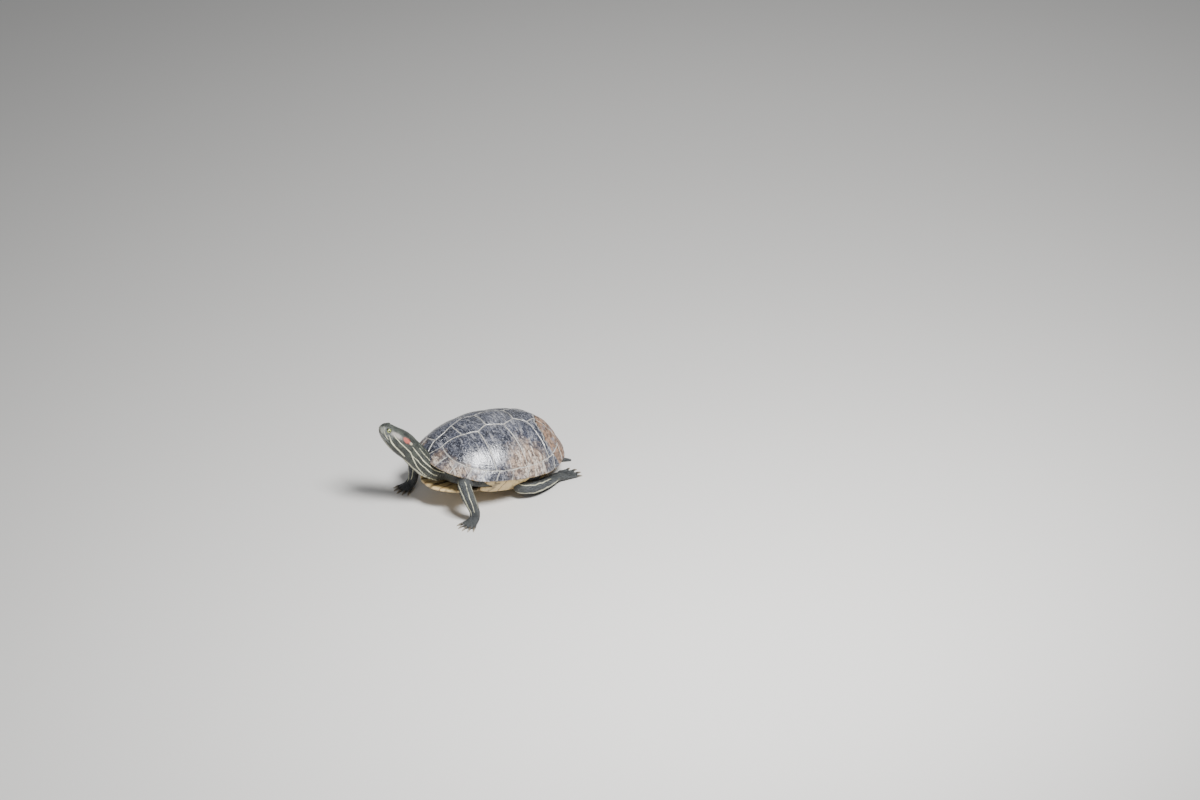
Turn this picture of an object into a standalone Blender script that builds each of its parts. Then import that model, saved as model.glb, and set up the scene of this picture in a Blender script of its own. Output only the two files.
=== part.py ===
"""Red-eared slider, an adult basking turtle, life size and still.

Everything is measured in carapace lengths and given as forward, left and up:
the animal faces -Y, its left side is +X, and the floor it rests on is z = 0.
The shell is made from one pair of formulas, the flesh from rings of points
along smooth lines, and Booleans fit the pieces to each other.
"""

import math

import bmesh
import bpy
import numpy as np
from mathutils import Matrix, Vector

# ---------------------------------------------------------------- driving sizes
CARAPACE_LENGTH = 0.205  # metres, along the shell without the flare of its rear margin
GAP = 0.0003  # metres between neighbouring pieces
NOSE_UP = math.radians(11.5)  # the shell's tilt over the propped forelegs
SHELL_LIFT = 0.224  # height of the shell's centre over the floor

HALF_WIDTH = 0.385  # of the carapace
DOME_HEIGHT = 0.292  # over the plane of the margin
FRONT_REACH = 0.55  # from the crown of the dome to the front margin
REAR_REACH = 0.487
CROWN_FORWARD = -0.05  # the crown lies a little behind the middle
OUTLINE_POWER = 2 / 2.3  # seen from above the shell is a little squarer than an ellipse
NECK_DIP, NECK_DIP_SPREAD = 0.022, 0.11  # the front margin dips over the neck
FRONT_RISE, REAR_RISE = 0.055, 0.03  # of the margin, over the neck and over the tail
FULLNESS, REAR_FULLNESS = 2.05, 1.1  # how late the dome starts to fall, more so at the back
ROUNDNESS, END_ROUNDNESS = 0.66, 0.19  # how steep it meets the margin, at the flank and the ends
SHELL_WALL = 0.024
WALL_GROWTH = 0.6  # the wall thickens by this share towards the margin
RIM_DEPTH = 0.016  # height of the blunt edge of the marginals
RIM_INSET = 0.83  # where the cavity of the shell starts, as a share of the outline
RIM_LIP = 0.004  # the cavity starts this far over the underside of the rim

PLASTRON_LOW = -0.145  # underside of the plastron in the shell's own frame
PLASTRON_THICK = 0.021
PLASTRON_REACH = 0.465  # half its length
PLASTRON_HALF_WIDTH = 0.255
PLASTRON_WAIST = 0.035  # how far the outline draws in at each leg
PLASTRON_TAPER = 0.05  # how much narrower the rear lobe is
TAIL_NOTCH, TAIL_NOTCH_SPREAD = 0.035, 0.055
FRONT_DROOP = 0.014  # the front lobe hangs a little

SECTORS = 36  # facets round the shell

SKIN = ("skin", (0.055, 0.062, 0.058), 0.55)
SHELL = ("shell", (0.10, 0.105, 0.115), 0.40)
BELLY = ("belly", (0.78, 0.58, 0.26), 0.50)
CLAW = ("claw", (0.42, 0.38, 0.30), 0.35)
EYE = ("eye", (0.20, 0.24, 0.10), 0.12)


# ---------------------------------------------------------------- small helpers
def place(forward, left, up):
    """A point over the floor, from carapace lengths to metres."""
    return Vector((left, -forward, up)) * CARAPACE_LENGTH


def shell_matrix():
    """From the shell's own frame, in carapace lengths, to the tilted shell in metres."""
    lift = Matrix.Translation((0, 0, SHELL_LIFT * CARAPACE_LENGTH))
    return lift @ Matrix.Rotation(-NOSE_UP, 4, "X") @ Matrix.Scale(CARAPACE_LENGTH, 4)


def material_named(finish):
    name, colour, roughness = finish
    found = bpy.data.materials.get(name)
    if found:
        return found
    made = bpy.data.materials.new(name)
    made.use_nodes = True
    shader = made.node_tree.nodes["Principled BSDF"]
    shader.inputs["Base Color"].default_value = (*colour, 1)
    shader.inputs["Roughness"].default_value = roughness
    return made


def make_object(name, points, faces, finish):
    """A closed mesh, its faces turned outwards and its round parts shaded smooth."""
    mesh = bpy.data.meshes.new(name)
    mesh.from_pydata([tuple(p) for p in points], [], faces)
    work = bmesh.new()
    work.from_mesh(mesh)
    bmesh.ops.recalc_face_normals(work, faces=work.faces)
    work.to_mesh(mesh)
    work.free()
    mesh.shade_smooth()
    mesh.set_sharp_from_angle(angle=math.radians(50))
    mesh.materials.append(material_named(finish))
    made = bpy.data.objects.new(name, mesh)
    bpy.context.scene.collection.objects.link(made)
    return made


def ring_object(name, rings, finish, first_tip=None, last_tip=None):
    """Skins a stack of equal rings. Each end is a tip point, or flat."""
    sides = len(rings[0])
    points = [p for ring in rings for p in ring]
    faces = []
    for k in range(len(rings) - 1):
        for i in range(sides):
            j = (i + 1) % sides
            low, high = k * sides, (k + 1) * sides
            faces.append((low + i, low + j, high + j, high + i))
    for tip, start in ((first_tip, 0), (last_tip, (len(rings) - 1) * sides)):
        if tip is None:
            faces.append(tuple(range(start, start + sides)))
        else:
            points.append(tip)
            apex = len(points) - 1
            faces += [(start + i, start + (i + 1) % sides, apex) for i in range(sides)]
    return make_object(name, points, faces, finish)


def spline(stations, samples):
    """Rows of numbers read at even steps along a smooth curve through the stations."""
    rows = np.array(stations, float)
    last = len(rows) - 1
    slopes = np.gradient(rows, axis=0)
    read = []
    for at in samples:
        k = min(int(at * last), last - 1)
        u = at * last - k
        a, b, da, db = rows[k], rows[k + 1], slopes[k], slopes[k + 1]
        rise = u * u * (3 - 2 * u)
        read.append(
            a + (b - a) * rise + da * u * (1 - u) ** 2 - db * u * u * (1 - u)
        )
    return np.array(read)


def apply_boolean(target, other, operation):
    """Applies a Boolean to target; the other object is left as it is."""
    modifier = target.modifiers.new(operation, "BOOLEAN")
    modifier.operation = operation
    modifier.solver = "EXACT"
    modifier.object = other
    bpy.context.view_layer.update()
    graph = bpy.context.evaluated_depsgraph_get()
    result = bpy.data.meshes.new_from_object(target.evaluated_get(graph))
    target.modifiers.remove(modifier)
    target.data = result


def grown_copy(source, distance):
    """A hidden cutter: the source with its surface moved out by distance."""
    mesh = source.data.copy()
    work = bmesh.new()
    work.from_mesh(mesh)
    bmesh.ops.triangulate(work, faces=work.faces)
    work.normal_update()
    for vertex in work.verts:
        vertex.co += vertex.normal * distance * vertex.calc_shell_factor()
    work.to_mesh(mesh)
    work.free()
    return hidden_cutter(source.name + "_cutter", mesh)


def hidden_cutter(name, mesh):
    cutter = bpy.data.objects.new(name, mesh)
    cutter.hide_render = True
    cutter.display_type = "WIRE"
    bpy.context.scene.collection.objects.link(cutter)
    return cutter


def box_cutter(name, low, high, matrix):
    work = bmesh.new()
    bmesh.ops.create_cube(work, size=1)
    size = Vector(high) - Vector(low)
    centre = (Vector(high) + Vector(low)) / 2
    bmesh.ops.scale(work, vec=size, verts=work.verts)
    bmesh.ops.translate(work, vec=centre, verts=work.verts)
    bmesh.ops.transform(work, matrix=matrix, verts=work.verts)
    mesh = bpy.data.meshes.new(name)
    work.to_mesh(mesh)
    work.free()
    return hidden_cutter(name, mesh)


# ---------------------------------------------------------------- shell formulas
def margin(angle):
    """The edge of the carapace seen from above; angle 0 is the front, 90 the left."""
    ahead = math.cos(angle)
    reach = FRONT_REACH if ahead > 0 else REAR_REACH
    forward = CROWN_FORWARD + reach * math.copysign(abs(ahead) ** OUTLINE_POWER, ahead)
    left = HALF_WIDTH * math.sin(angle)
    if ahead > 0:
        forward -= NECK_DIP * math.exp(-((left / NECK_DIP_SPREAD) ** 2))
    return forward, left


def margin_height(forward):
    """The margin rises over the neck, and a little over the tail."""
    front = max(0.0, (forward - 0.20) / 0.30)
    rear = max(0.0, (-0.25 - forward) / 0.25)
    return FRONT_RISE * front**1.6 + REAR_RISE * rear**1.5


def dome(share, angle):
    """Height of the carapace at a share of the way from its crown to its edge."""
    ahead = math.cos(angle)
    fullness = FULLNESS + REAR_FULLNESS * max(0.0, -ahead) ** 2
    roundness = ROUNDNESS + END_ROUNDNESS * ahead * ahead
    edge = margin_height(margin(angle)[0])
    return edge + (DOME_HEIGHT - edge) * max(0.0, 1 - share**fullness) ** roundness


def shell_point(share, angle, height):
    """A point of the shell at a share of its outline, in its own frame."""
    forward, left = margin(angle)
    forward = CROWN_FORWARD + share * (forward - CROWN_FORWARD)
    return Vector((share * left, -forward, height))


def sector_angles(count):
    return [2 * math.pi * i / count for i in range(count)]


def underside(share, angle, depth):
    """The inner face of the carapace, and of what lies against it."""
    return dome(share, angle) - depth * (1 + WALL_GROWTH * share**4)


# ---------------------------------------------------------------- shell pieces
def make_carapace():
    """The domed bony shield, with its blunt rim and the hollow under it."""
    angles = sector_angles(SECTORS)
    rings = []
    for share in (0.18, 0.36, 0.52, 0.66, 0.78, 0.87, 0.94, 0.98, 1.0):
        rings.append([shell_point(share, a, dome(share, a)) for a in angles])
    for share, drop in ((0.995, RIM_DEPTH * 0.6), (0.975, RIM_DEPTH)):
        rings.append([rim_point(share, a, drop) for a in angles])
    rings.append([rim_point(RIM_INSET, a, RIM_DEPTH * 1.1) for a in angles])
    for share in (RIM_INSET - RIM_LIP, 0.72, 0.56, 0.36, 0.18):
        rings.append([inner_point(share, a, SHELL_WALL) for a in angles])
    crown = shell_point(0, 0, DOME_HEIGHT)
    ceiling = shell_point(0, 0, DOME_HEIGHT - SHELL_WALL)
    return shell_object("carapace", rings, SHELL, crown, ceiling)


def rim_point(share, angle, drop):
    return shell_point(share, angle, margin_height(margin(angle)[0]) - drop)


def inner_point(share, angle, depth):
    """The cavity's wall, never lower than the underside of the rim."""
    lowest = margin_height(margin(angle)[0]) - RIM_DEPTH * 1.1 + RIM_LIP
    return shell_point(share, angle, max(underside(share, angle, depth), lowest))


def shell_object(name, rings, finish, first_tip=None, last_tip=None):
    matrix = shell_matrix()
    posed = [[matrix @ p for p in ring] for ring in rings]
    tips = [tip if tip is None else matrix @ tip for tip in (first_tip, last_tip)]
    return ring_object(name, posed, finish, *tips)


def plastron_edge(angle):
    """Outline of the belly plate: a broad front lobe, a waist at each leg, a notched tail end."""
    ahead, aside = math.cos(angle), math.sin(angle)
    forward = PLASTRON_REACH * ahead - 0.005
    lobe = PLASTRON_HALF_WIDTH - PLASTRON_WAIST * math.cos(2 * angle) ** 2
    narrowing = PLASTRON_TAPER * max(0.0, -ahead) ** 2
    left = (lobe - narrowing) * math.copysign(abs(aside) ** 0.7, aside)
    if ahead < 0:
        forward += TAIL_NOTCH * math.exp(-((left / TAIL_NOTCH_SPREAD) ** 2))
    return forward, left


def plastron_lift(forward):
    """The front lobe hangs below the plane of the rest."""
    return -FRONT_DROOP * max(0.0, (forward - 0.18) / 0.28) ** 2


def make_plastron():
    """The flat belly shield, two faces and a rounded edge."""
    angles = sector_angles(SECTORS)

    def ring(share, height):
        points = []
        for a in angles:
            forward, left = plastron_edge(a)
            rise = height + plastron_lift(forward * share)
            points.append(Vector((left * share, -forward * share, rise)))
        return points

    low, high = PLASTRON_LOW, PLASTRON_LOW + PLASTRON_THICK
    rings = [ring(0.5, low), ring(0.93, low), ring(0.985, low + 0.005)]
    rings += [ring(0.99, high - 0.004), ring(0.94, high), ring(0.5, high)]
    bottom = Vector((0, 0, low))
    top = Vector((0, 0, high))
    return shell_object("plastron", rings, BELLY, bottom, top)


def make_trunk():
    """The body inside the shell, closed by skin at the openings for neck, legs and tail."""
    clearance = GAP / CARAPACE_LENGTH * 1.6
    angles = sector_angles(SECTORS)
    rings = []
    for share in (0.18, 0.36, 0.56, 0.72, RIM_INSET - 0.012):
        depth = SHELL_WALL + clearance
        rings.append([inner_point(share, a, depth) for a in angles])
    for share, rise in ((RIM_INSET - 0.02, 0.040), (0.70, 0.012), (0.55, 0.0), (0.3, 0.0)):
        rings.append([trunk_belly(share, a, rise + clearance) for a in angles])
    ceiling = shell_point(0, 0, DOME_HEIGHT - SHELL_WALL - clearance)
    middle = shell_point(0, 0, PLASTRON_LOW + PLASTRON_THICK + clearance)
    return shell_object("trunk", rings, SKIN, ceiling, middle)


def trunk_belly(share, angle, rise):
    """The underside lies along the plastron, and rises to the rim round the leg pockets."""
    height = PLASTRON_LOW + PLASTRON_THICK + rise
    height += plastron_lift(-shell_point(share, angle, 0).y)
    roof = margin_height(margin(angle)[0]) - RIM_DEPTH * 1.1 - 0.006
    return shell_point(share, angle, min(height, roof))


def make_bridge(name, side, cutters):
    """The wall of bone that joins carapace and plastron between the legs.

    Returns the cutter that keeps the legs clear of it."""
    matrix = shell_matrix()
    # forward, reach of the outer face at the margin and at the belly
    ribs = spline(
        [
            (0.17, 0.30, 0.20),
            (0.11, 0.345, 0.245),
            (-0.01, 0.36, 0.255),
            (-0.13, 0.35, 0.245),
            (-0.19, 0.30, 0.20),
        ],
        np.linspace(0, 1, 9),
    )
    rings = []
    for forward, reach, belly in ribs:
        top = -RIM_DEPTH + 0.01
        low = PLASTRON_LOW + 0.004
        section = [(reach, top), (reach - 0.012, -0.045), (reach - 0.05, -0.088)]
        section += [(belly + 0.01, low), (belly - 0.03, low), (belly - 0.05, low + 0.03)]
        section += [(belly - 0.02, top)]
        rings.append([matrix @ Vector((side * y, -forward, z)) for y, z in section])
    made = ring_object(name, rings, BELLY)
    clearance = grown_copy(made, GAP)
    for cutter in cutters:
        apply_boolean(made, cutter, "DIFFERENCE")
    keep_largest(made)
    return clearance


# ---------------------------------------------------------------- flesh helpers
def ring_at(centre, along, over, wide, high, low, sides, squareness=2.2):
    """One cross-section: its half width, and its reach above and below the line."""
    side = over.cross(along).normalized()
    ring = []
    for i in range(sides):
        turn = 2 * math.pi * i / sides
        c, s = math.cos(turn), math.sin(turn)
        across = math.copysign(abs(c) ** (2 / squareness), c) * wide
        reach = high if s > 0 else low
        up = math.copysign(abs(s) ** (2 / squareness), s) * reach
        ring.append(centre + (side * across + over * up) * CARAPACE_LENGTH)
    return ring


def frames_along(stations, samples):
    """Centre, direction and upper side at each sample, carried up from the far end untwisted."""
    walk = np.union1d(np.linspace(0, 1, 41), samples)[::-1]
    over = Vector((0, 0, 1))
    found = {}
    for at in walk:
        centre = place(*spline(stations, [at])[0][:3])
        ends = spline(stations, [max(at - 0.01, 0), min(at + 0.01, 1)])
        along = (place(*ends[1][:3]) - place(*ends[0][:3])).normalized()
        over = (over - along * over.dot(along)).normalized()
        found[at] = (centre, along, over)
    return [found[at] for at in samples]


def tube(name, stations, finish, start=0.0, end=1.0, count=8, sides=12, squareness=2.2, domed=()):
    """A limb or neck: stations are forward, left, up, half width, half height.

    start and end take a stretch of the line, so that neighbours share one curve.
    domed names the ends, "start" or "end", that are rounded off like a joint."""
    trim = 0.5 * GAP / curve_length(stations)
    low = start + trim * (start > 0)
    high = end - trim * (end < 1)
    samples = np.linspace(low, high, count)
    rings = []
    rows, frames = spline(stations, samples), frames_along(stations, samples)
    for row, frame in zip(rows, frames):
        rings.append(ring_at(*frame, row[3], row[4], row[4], sides, squareness))
    tips = {"start": None, "end": None}
    for which in domed:
        k, way = (0, -1) if which == "start" else (-1, 1)
        centre, along, over = frames[k]
        reach = along * way * rows[k][4] * CARAPACE_LENGTH
        wide, high = rows[k][3] * 0.78, rows[k][4] * 0.78
        ring = ring_at(centre + reach * 0.55, along, over, wide, high, high, sides, squareness)
        rings.insert(0 if which == "start" else len(rings), ring)
        tips[which] = centre + reach * 0.85
    return ring_object(name, rings, finish, tips["start"], tips["end"])


def curve_length(stations):
    """Length in metres of the line through the stations."""
    line = [place(*row[:3]) for row in spline(stations, np.linspace(0, 1, 40))]
    return sum((b - a).length for a, b in zip(line, line[1:]))


def fit_to_shell(piece, cutters):
    """Ends a limb on the skin of the trunk and clear of the shell and the floor."""
    for cutter in cutters:
        apply_boolean(piece, cutter, "DIFFERENCE")
    keep_largest(piece)


def keep_largest(piece):
    """Drops what a cut leaves behind the surface it ended on."""
    work = bmesh.new()
    work.from_mesh(piece.data)
    islands, seen = [], set()
    for vertex in work.verts:
        if vertex in seen:
            continue
        island, front = {vertex}, [vertex]
        while front:
            for edge in front.pop().link_edges:
                for other in edge.verts:
                    if other not in island:
                        island.add(other)
                        front.append(other)
        seen |= island
        islands.append(island)
    biggest = max(islands, key=len)
    spare = [v for v in work.verts if v not in biggest]
    bmesh.ops.delete(work, geom=spare, context="VERTS")
    work.to_mesh(piece.data)
    work.free()


# ---------------------------------------------------------------- head and neck
def from_shell(forward, left, up, *sizes):
    """A station given in the shell's own frame, as forward, left and up over the floor."""
    c, s = math.cos(NOSE_UP), math.sin(NOSE_UP)
    return (forward * c - up * s, left, forward * s + up * c + SHELL_LIFT, *sizes)


HEAD_BACK = from_shell(0.6045, -0.020, 0.1285)
SNOUT = from_shell(0.8061, -0.0855, 0.2826)
HEAD_LENGTH = math.dist(HEAD_BACK, SNOUT)
NECK_LINE = [  # forward, left, up, half width, half height
    from_shell(0.200, 0.000, -0.015, 0.100, 0.070),
    from_shell(0.330, 0.000, -0.032, 0.104, 0.076),
    from_shell(0.430, 0.000, -0.028, 0.098, 0.080),
    from_shell(0.506, -0.004, 0.028, 0.086, 0.080),
    from_shell(0.560, -0.011, 0.084, 0.079, 0.079),
    from_shell(0.6045, -0.020, 0.1285, 0.079, 0.079),
    from_shell(0.6350, -0.030, 0.1520, 0.077, 0.076),
]

# share of the head's length from its back, half width, reach above, reach below
HEAD_SECTIONS = [
    (0.00, 0.080, 0.080, 0.079),
    (0.14, 0.084, 0.083, 0.078),
    (0.28, 0.085, 0.083, 0.077),
    (0.43, 0.078, 0.077, 0.073),
    (0.56, 0.068, 0.070, 0.067),
    (0.70, 0.058, 0.064, 0.057),
    (0.81, 0.049, 0.057, 0.047),
    (0.90, 0.039, 0.048, 0.034),
    (0.965, 0.028, 0.037, 0.016),
]
NOSE_RISE = 0.016  # the tip of the snout over the head's line
EYE_AT = (0.780, 0.0305, 0.027)  # share of the length, aside, above the line
EYE_RADIUS = 0.0235
MOUTH_HEIGHT = -0.018
MOUTH_CORNER = 0.60  # share of the length where the jaws meet


def head_matrix():
    """Head frame in metres: X to its left, Y back towards the neck, Z over the crown."""
    back, snout = place(*HEAD_BACK), place(*SNOUT)
    forward = (snout - back).normalized()
    left = Vector((0, 0, 1)).cross(forward).normalized()
    crown = forward.cross(left)
    turn = Matrix((left, -forward, crown)).transposed().to_4x4()
    return Matrix.Translation(back) @ turn @ Matrix.Scale(CARAPACE_LENGTH, 4)


def head_point(share, aside, above):
    return head_matrix() @ Vector((aside, -share * HEAD_LENGTH, above))


def make_head(neck):
    """Skull and cheeks, the lower jaw parted from it by the mouth, and the eyes."""
    matrix = head_matrix()
    forward = -matrix.col[1].to_3d().normalized()
    crown = matrix.col[2].to_3d().normalized()
    rings = []
    for share, wide, high, low in HEAD_SECTIONS:
        centre = head_point(share, 0, 0)
        rings.append(ring_at(centre, forward, crown, wide, high, low, 24, 2.35))
    head = ring_object("head", rings, SKIN, None, head_point(1, 0, NOSE_RISE))
    apply_boolean(neck, grown_copy(head, GAP), "DIFFERENCE")
    keep_largest(neck)

    jaw = head.copy()
    jaw.data = head.data.copy()
    jaw.name = "lower_jaw"
    bpy.context.scene.collection.objects.link(jaw)
    corner = -MOUTH_CORNER * HEAD_LENGTH
    below = box_cutter("mouth_cutter", (-1, -2, -1), (1, corner, MOUTH_HEIGHT), matrix)
    apply_boolean(jaw, below, "INTERSECT")
    apply_boolean(head, grown_copy(below, GAP), "DIFFERENCE")

    share, aside, above = EYE_AT
    for name, side in (("eye_left", 1), ("eye_right", -1)):
        centre = head_point(share, side * aside, above)
        eye = make_ball(name, centre, EYE_RADIUS * CARAPACE_LENGTH, EYE)
        apply_boolean(head, grown_copy(eye, GAP), "DIFFERENCE")
    keep_largest(head)


def make_ball(name, centre, radius, finish):
    work = bmesh.new()
    bmesh.ops.create_icosphere(work, subdivisions=2, radius=radius)
    bmesh.ops.translate(work, vec=centre, verts=work.verts)
    mesh = bpy.data.meshes.new(name)
    work.to_mesh(mesh)
    work.free()
    mesh.shade_smooth()
    mesh.materials.append(material_named(finish))
    made = bpy.data.objects.new(name, mesh)
    bpy.context.scene.collection.objects.link(made)
    return made


# ---------------------------------------------------------------- legs and tail
# forward, left, up, half width, half height: shoulder to elbow, elbow to knuckles
FORELEG = {
    "left": (
        [
            (0.220, 0.140, 0.220, 0.064, 0.058),
            (0.285, 0.235, 0.246, 0.059, 0.055),
            (0.346, 0.322, 0.256, 0.048, 0.046),
        ],
        [
            (0.346, 0.322, 0.256, 0.046, 0.044),
            (0.343, 0.362, 0.182, 0.045, 0.041),
            (0.320, 0.380, 0.096, 0.039, 0.034),
            (0.324, 0.390, 0.040, 0.038, 0.026),
            (0.362, 0.404, 0.0165, 0.045, 0.021),
        ],
    ),
    "right": (
        [
            (0.220, -0.140, 0.220, 0.064, 0.058),
            (0.305, -0.215, 0.242, 0.059, 0.055),
            (0.378, -0.272, 0.250, 0.048, 0.046),
        ],
        [
            (0.378, -0.272, 0.250, 0.046, 0.044),
            (0.402, -0.290, 0.176, 0.045, 0.041),
            (0.412, -0.292, 0.096, 0.039, 0.034),
            (0.432, -0.290, 0.040, 0.038, 0.026),
            (0.474, -0.282, 0.0165, 0.045, 0.021),
        ],
    ),
}
# hip to knee, then the shank stretched back under the margin to the knuckles
HINDLEG = {
    "left": (
        [
            (-0.270, 0.120, 0.112, 0.066, 0.056),
            (-0.165, 0.220, 0.104, 0.063, 0.055),
            (-0.080, 0.298, 0.090, 0.054, 0.050),
        ],
        [
            (-0.080, 0.298, 0.090, 0.051, 0.048),
            (-0.160, 0.328, 0.074, 0.049, 0.045),
            (-0.270, 0.306, 0.056, 0.041, 0.037),
            (-0.370, 0.256, 0.037, 0.039, 0.027),
            (-0.440, 0.234, 0.022, 0.050, 0.020),
        ],
    ),
    "right": (
        [
            (-0.270, -0.120, 0.112, 0.066, 0.056),
            (-0.180, -0.222, 0.104, 0.063, 0.055),
            (-0.100, -0.308, 0.090, 0.054, 0.050),
        ],
        [
            (-0.100, -0.308, 0.090, 0.051, 0.048),
            (-0.172, -0.346, 0.074, 0.049, 0.045),
            (-0.270, -0.334, 0.056, 0.041, 0.037),
            (-0.355, -0.304, 0.037, 0.039, 0.027),
            (-0.422, -0.300, 0.022, 0.050, 0.020),
        ],
    ),
}
FORE_PARTS = ("upper_arm", "forearm", "forefoot")
HIND_PARTS = ("thigh", "shank", "hind_foot")
WRIST = 0.68  # share of the lower line where the foot begins
ANKLE = 0.74
TAIL_LINE = [
    (-0.300, 0.000, 0.115, 0.046, 0.038),
    (-0.400, 0.003, 0.088, 0.036, 0.031),
    (-0.475, 0.015, 0.048, 0.027, 0.025),
    (-0.540, 0.035, 0.018, 0.018, 0.017),
    (-0.595, 0.066, 0.0075, 0.009, 0.009),
]
DIGITS = 5
CLAW_RADIUS = 0.0085
CLAW_SEAT = 0.006  # depth of a claw's root in its toe
CLAW_TIP_UP = 0.0006


def fan_directions(line, spread):
    """Unit directions of the five digits, fanned about the end of the limb's line."""
    last, before = place(*line[-1][:3]), place(*line[-2][:3])
    heading = last - before
    heading.z = 0
    heading.normalize()
    turns = np.linspace(-spread, spread, DIGITS)
    return [Matrix.Rotation(math.radians(t), 3, "Z") @ heading for t in turns]


def digit_stations(root, end, radius, knuckle_up):
    """A toe from inside the palm, over its knuckle and down to the claw."""
    tip_up = radius * 0.52
    middle = (knuckle_up + tip_up) / 2
    course = ((0, knuckle_up, 1.1), (0.45, knuckle_up, 1.15), (0.8, middle, 1.0), (1, tip_up, 0.8))
    stations = []
    for share, height, thick in course:
        at = root.lerp(end, share)
        stations.append((-at.y, at.x, height, radius * thick, radius * thick * 0.9))
    return stations


def make_claw(name, base, heading, length):
    """A curved, tapering nail that dips to the floor."""
    side = Vector((0, 0, 1)).cross(heading).normalized()
    rings = []
    for share in (0.0, 0.4, 0.75):
        centre = base + heading * length * share
        centre.z = base.z - 0.25 * length * share**2
        size = CLAW_RADIUS * (1 - share) ** 0.7
        ring = []
        for i in range(6):
            turn = 2 * math.pi * i / 6
            offset = side * math.cos(turn) + Vector((0, 0, math.sin(turn)))
            ring.append((centre + offset * size) * CARAPACE_LENGTH)
        rings.append(ring)
    tip = base + heading * length
    tip.z = CLAW_TIP_UP
    return ring_object(name, rings, CLAW, None, tip * CARAPACE_LENGTH)


def make_foot(name, palm, line, digits, cutters):
    """Joins the toes to the palm, cuts the soles flat, and seats the claws in the toes."""
    foot = palm
    middle = fan_directions(line, 0)[2]
    side = Vector((0, 0, 1)).cross(middle)
    knuckle = Vector((line[-1][1], -line[-1][0], 0))
    radius = digits["radius"]
    claws = []
    for k, heading in enumerate(fan_directions(line, digits["spread"])):
        root = knuckle + side * (k - 2) * digits["pitch"] - heading * digits["palm"]
        end = root + heading * digits["lengths"][k]
        stations = digit_stations(root, end, radius, digits["knuckle_up"])
        toe = tube("toe", stations, SKIN, count=4, sides=6, squareness=2.0)
        apply_boolean(foot, toe, "UNION")
        bpy.data.objects.remove(toe)
        if k < digits["claws"]:
            base = Vector((*end.xy, radius * 0.8)) - heading * CLAW_SEAT
            claws.append(make_claw(f"{name}_claw_{k + 1}", base, heading, digits["claw"]))
    fit_to_shell(foot, cutters)
    trim_to_floor(foot)
    foot.name = name
    for claw in claws:
        trim_to_floor(claw)
        apply_boolean(foot, grown_copy(claw, GAP), "DIFFERENCE")
    keep_largest(foot)


def trim_to_floor(piece):
    """Whatever reaches the floor gets a small flat on it."""
    low = min(vertex.co.z for vertex in piece.data.vertices)
    if low < -1e-6:
        apply_boolean(piece, bpy.data.objects["floor_cutter"], "DIFFERENCE")


FORE_TOES = {
    "spread": 32,
    "pitch": 0.017,
    "palm": 0.020,
    "radius": 0.0125,
    "lengths": (0.062, 0.076, 0.082, 0.076, 0.060),
    "knuckle_up": 0.0165,
    "claws": 5,
    "claw": 0.042,
}
HIND_TOES = {
    "spread": 26,
    "pitch": 0.021,
    "palm": 0.020,
    "radius": 0.0125,
    "lengths": (0.098, 0.120, 0.128, 0.118, 0.080),
    "knuckle_up": 0.0165,
    "claws": 4,
    "claw": 0.036,
}


def make_leg(side, parts, lines, ankle, cutters):
    """Upper and lower limb, parted at the joint, and the start of the foot."""
    upper_line, lower_line = lines
    upper = tube(f"{side}_{parts[0]}", upper_line, SKIN, count=5, sides=12, domed=("end",))
    lower = tube(f"{side}_{parts[1]}", lower_line, SKIN, 0, ankle, count=7, domed=("start",))
    apply_boolean(lower, grown_copy(upper, GAP), "DIFFERENCE")
    for piece in (upper, lower):
        fit_to_shell(piece, cutters)
        trim_to_floor(piece)
    return tube("palm", lower_line, SKIN, ankle, 1.0, count=4)


def make_foreleg(side, cutters):
    lines = FORELEG[side]
    palm = make_leg(side, FORE_PARTS, lines, WRIST, cutters)
    make_foot(f"{side}_{FORE_PARTS[2]}", palm, lines[1], FORE_TOES, cutters)


def make_hindleg(side, cutters):
    lines = HINDLEG[side]
    sole = make_leg(side, HIND_PARTS, lines, ANKLE, cutters)
    web = tube("web", web_stations(lines[1]), SKIN, count=4, sides=10, squareness=2.6)
    apply_boolean(sole, web, "UNION")
    bpy.data.objects.remove(web)
    make_foot(f"{side}_{HIND_PARTS[2]}", sole, lines[1], HIND_TOES, cutters)


def web_stations(line):
    """The skin between the toes, a fan that widens and thins from the ankle."""
    start = Vector((line[-1][1], -line[-1][0], 0))
    heading = fan_directions(line, 0)[2]
    stations = []
    course = ((-0.03, 0.044, 0.020), (0.015, 0.056, 0.016), (0.055, 0.066, 0.011), (0.085, 0.060, 0.008))
    for reach, wide, thick in course:
        at = start + heading * reach
        stations.append((-at.y, at.x, thick * 0.9, wide, thick))
    return stations


def make_tail(cutters):
    tail = tube("tail", TAIL_LINE, SKIN, count=8, sides=10, domed=("end",))
    fit_to_shell(tail, cutters)
    trim_to_floor(tail)


def centre_on_floor():
    """Puts the origin under the middle of the whole animal."""
    shown = [o for o in bpy.data.objects if not o.hide_render]
    corners = [v.co for o in shown for v in o.data.vertices]
    middle = [(min(c[k] for c in corners) + max(c[k] for c in corners)) / 2 for k in (0, 1)]
    for piece in bpy.data.objects:
        piece.data.transform(Matrix.Translation((-middle[0], -middle[1], 0)))


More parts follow.
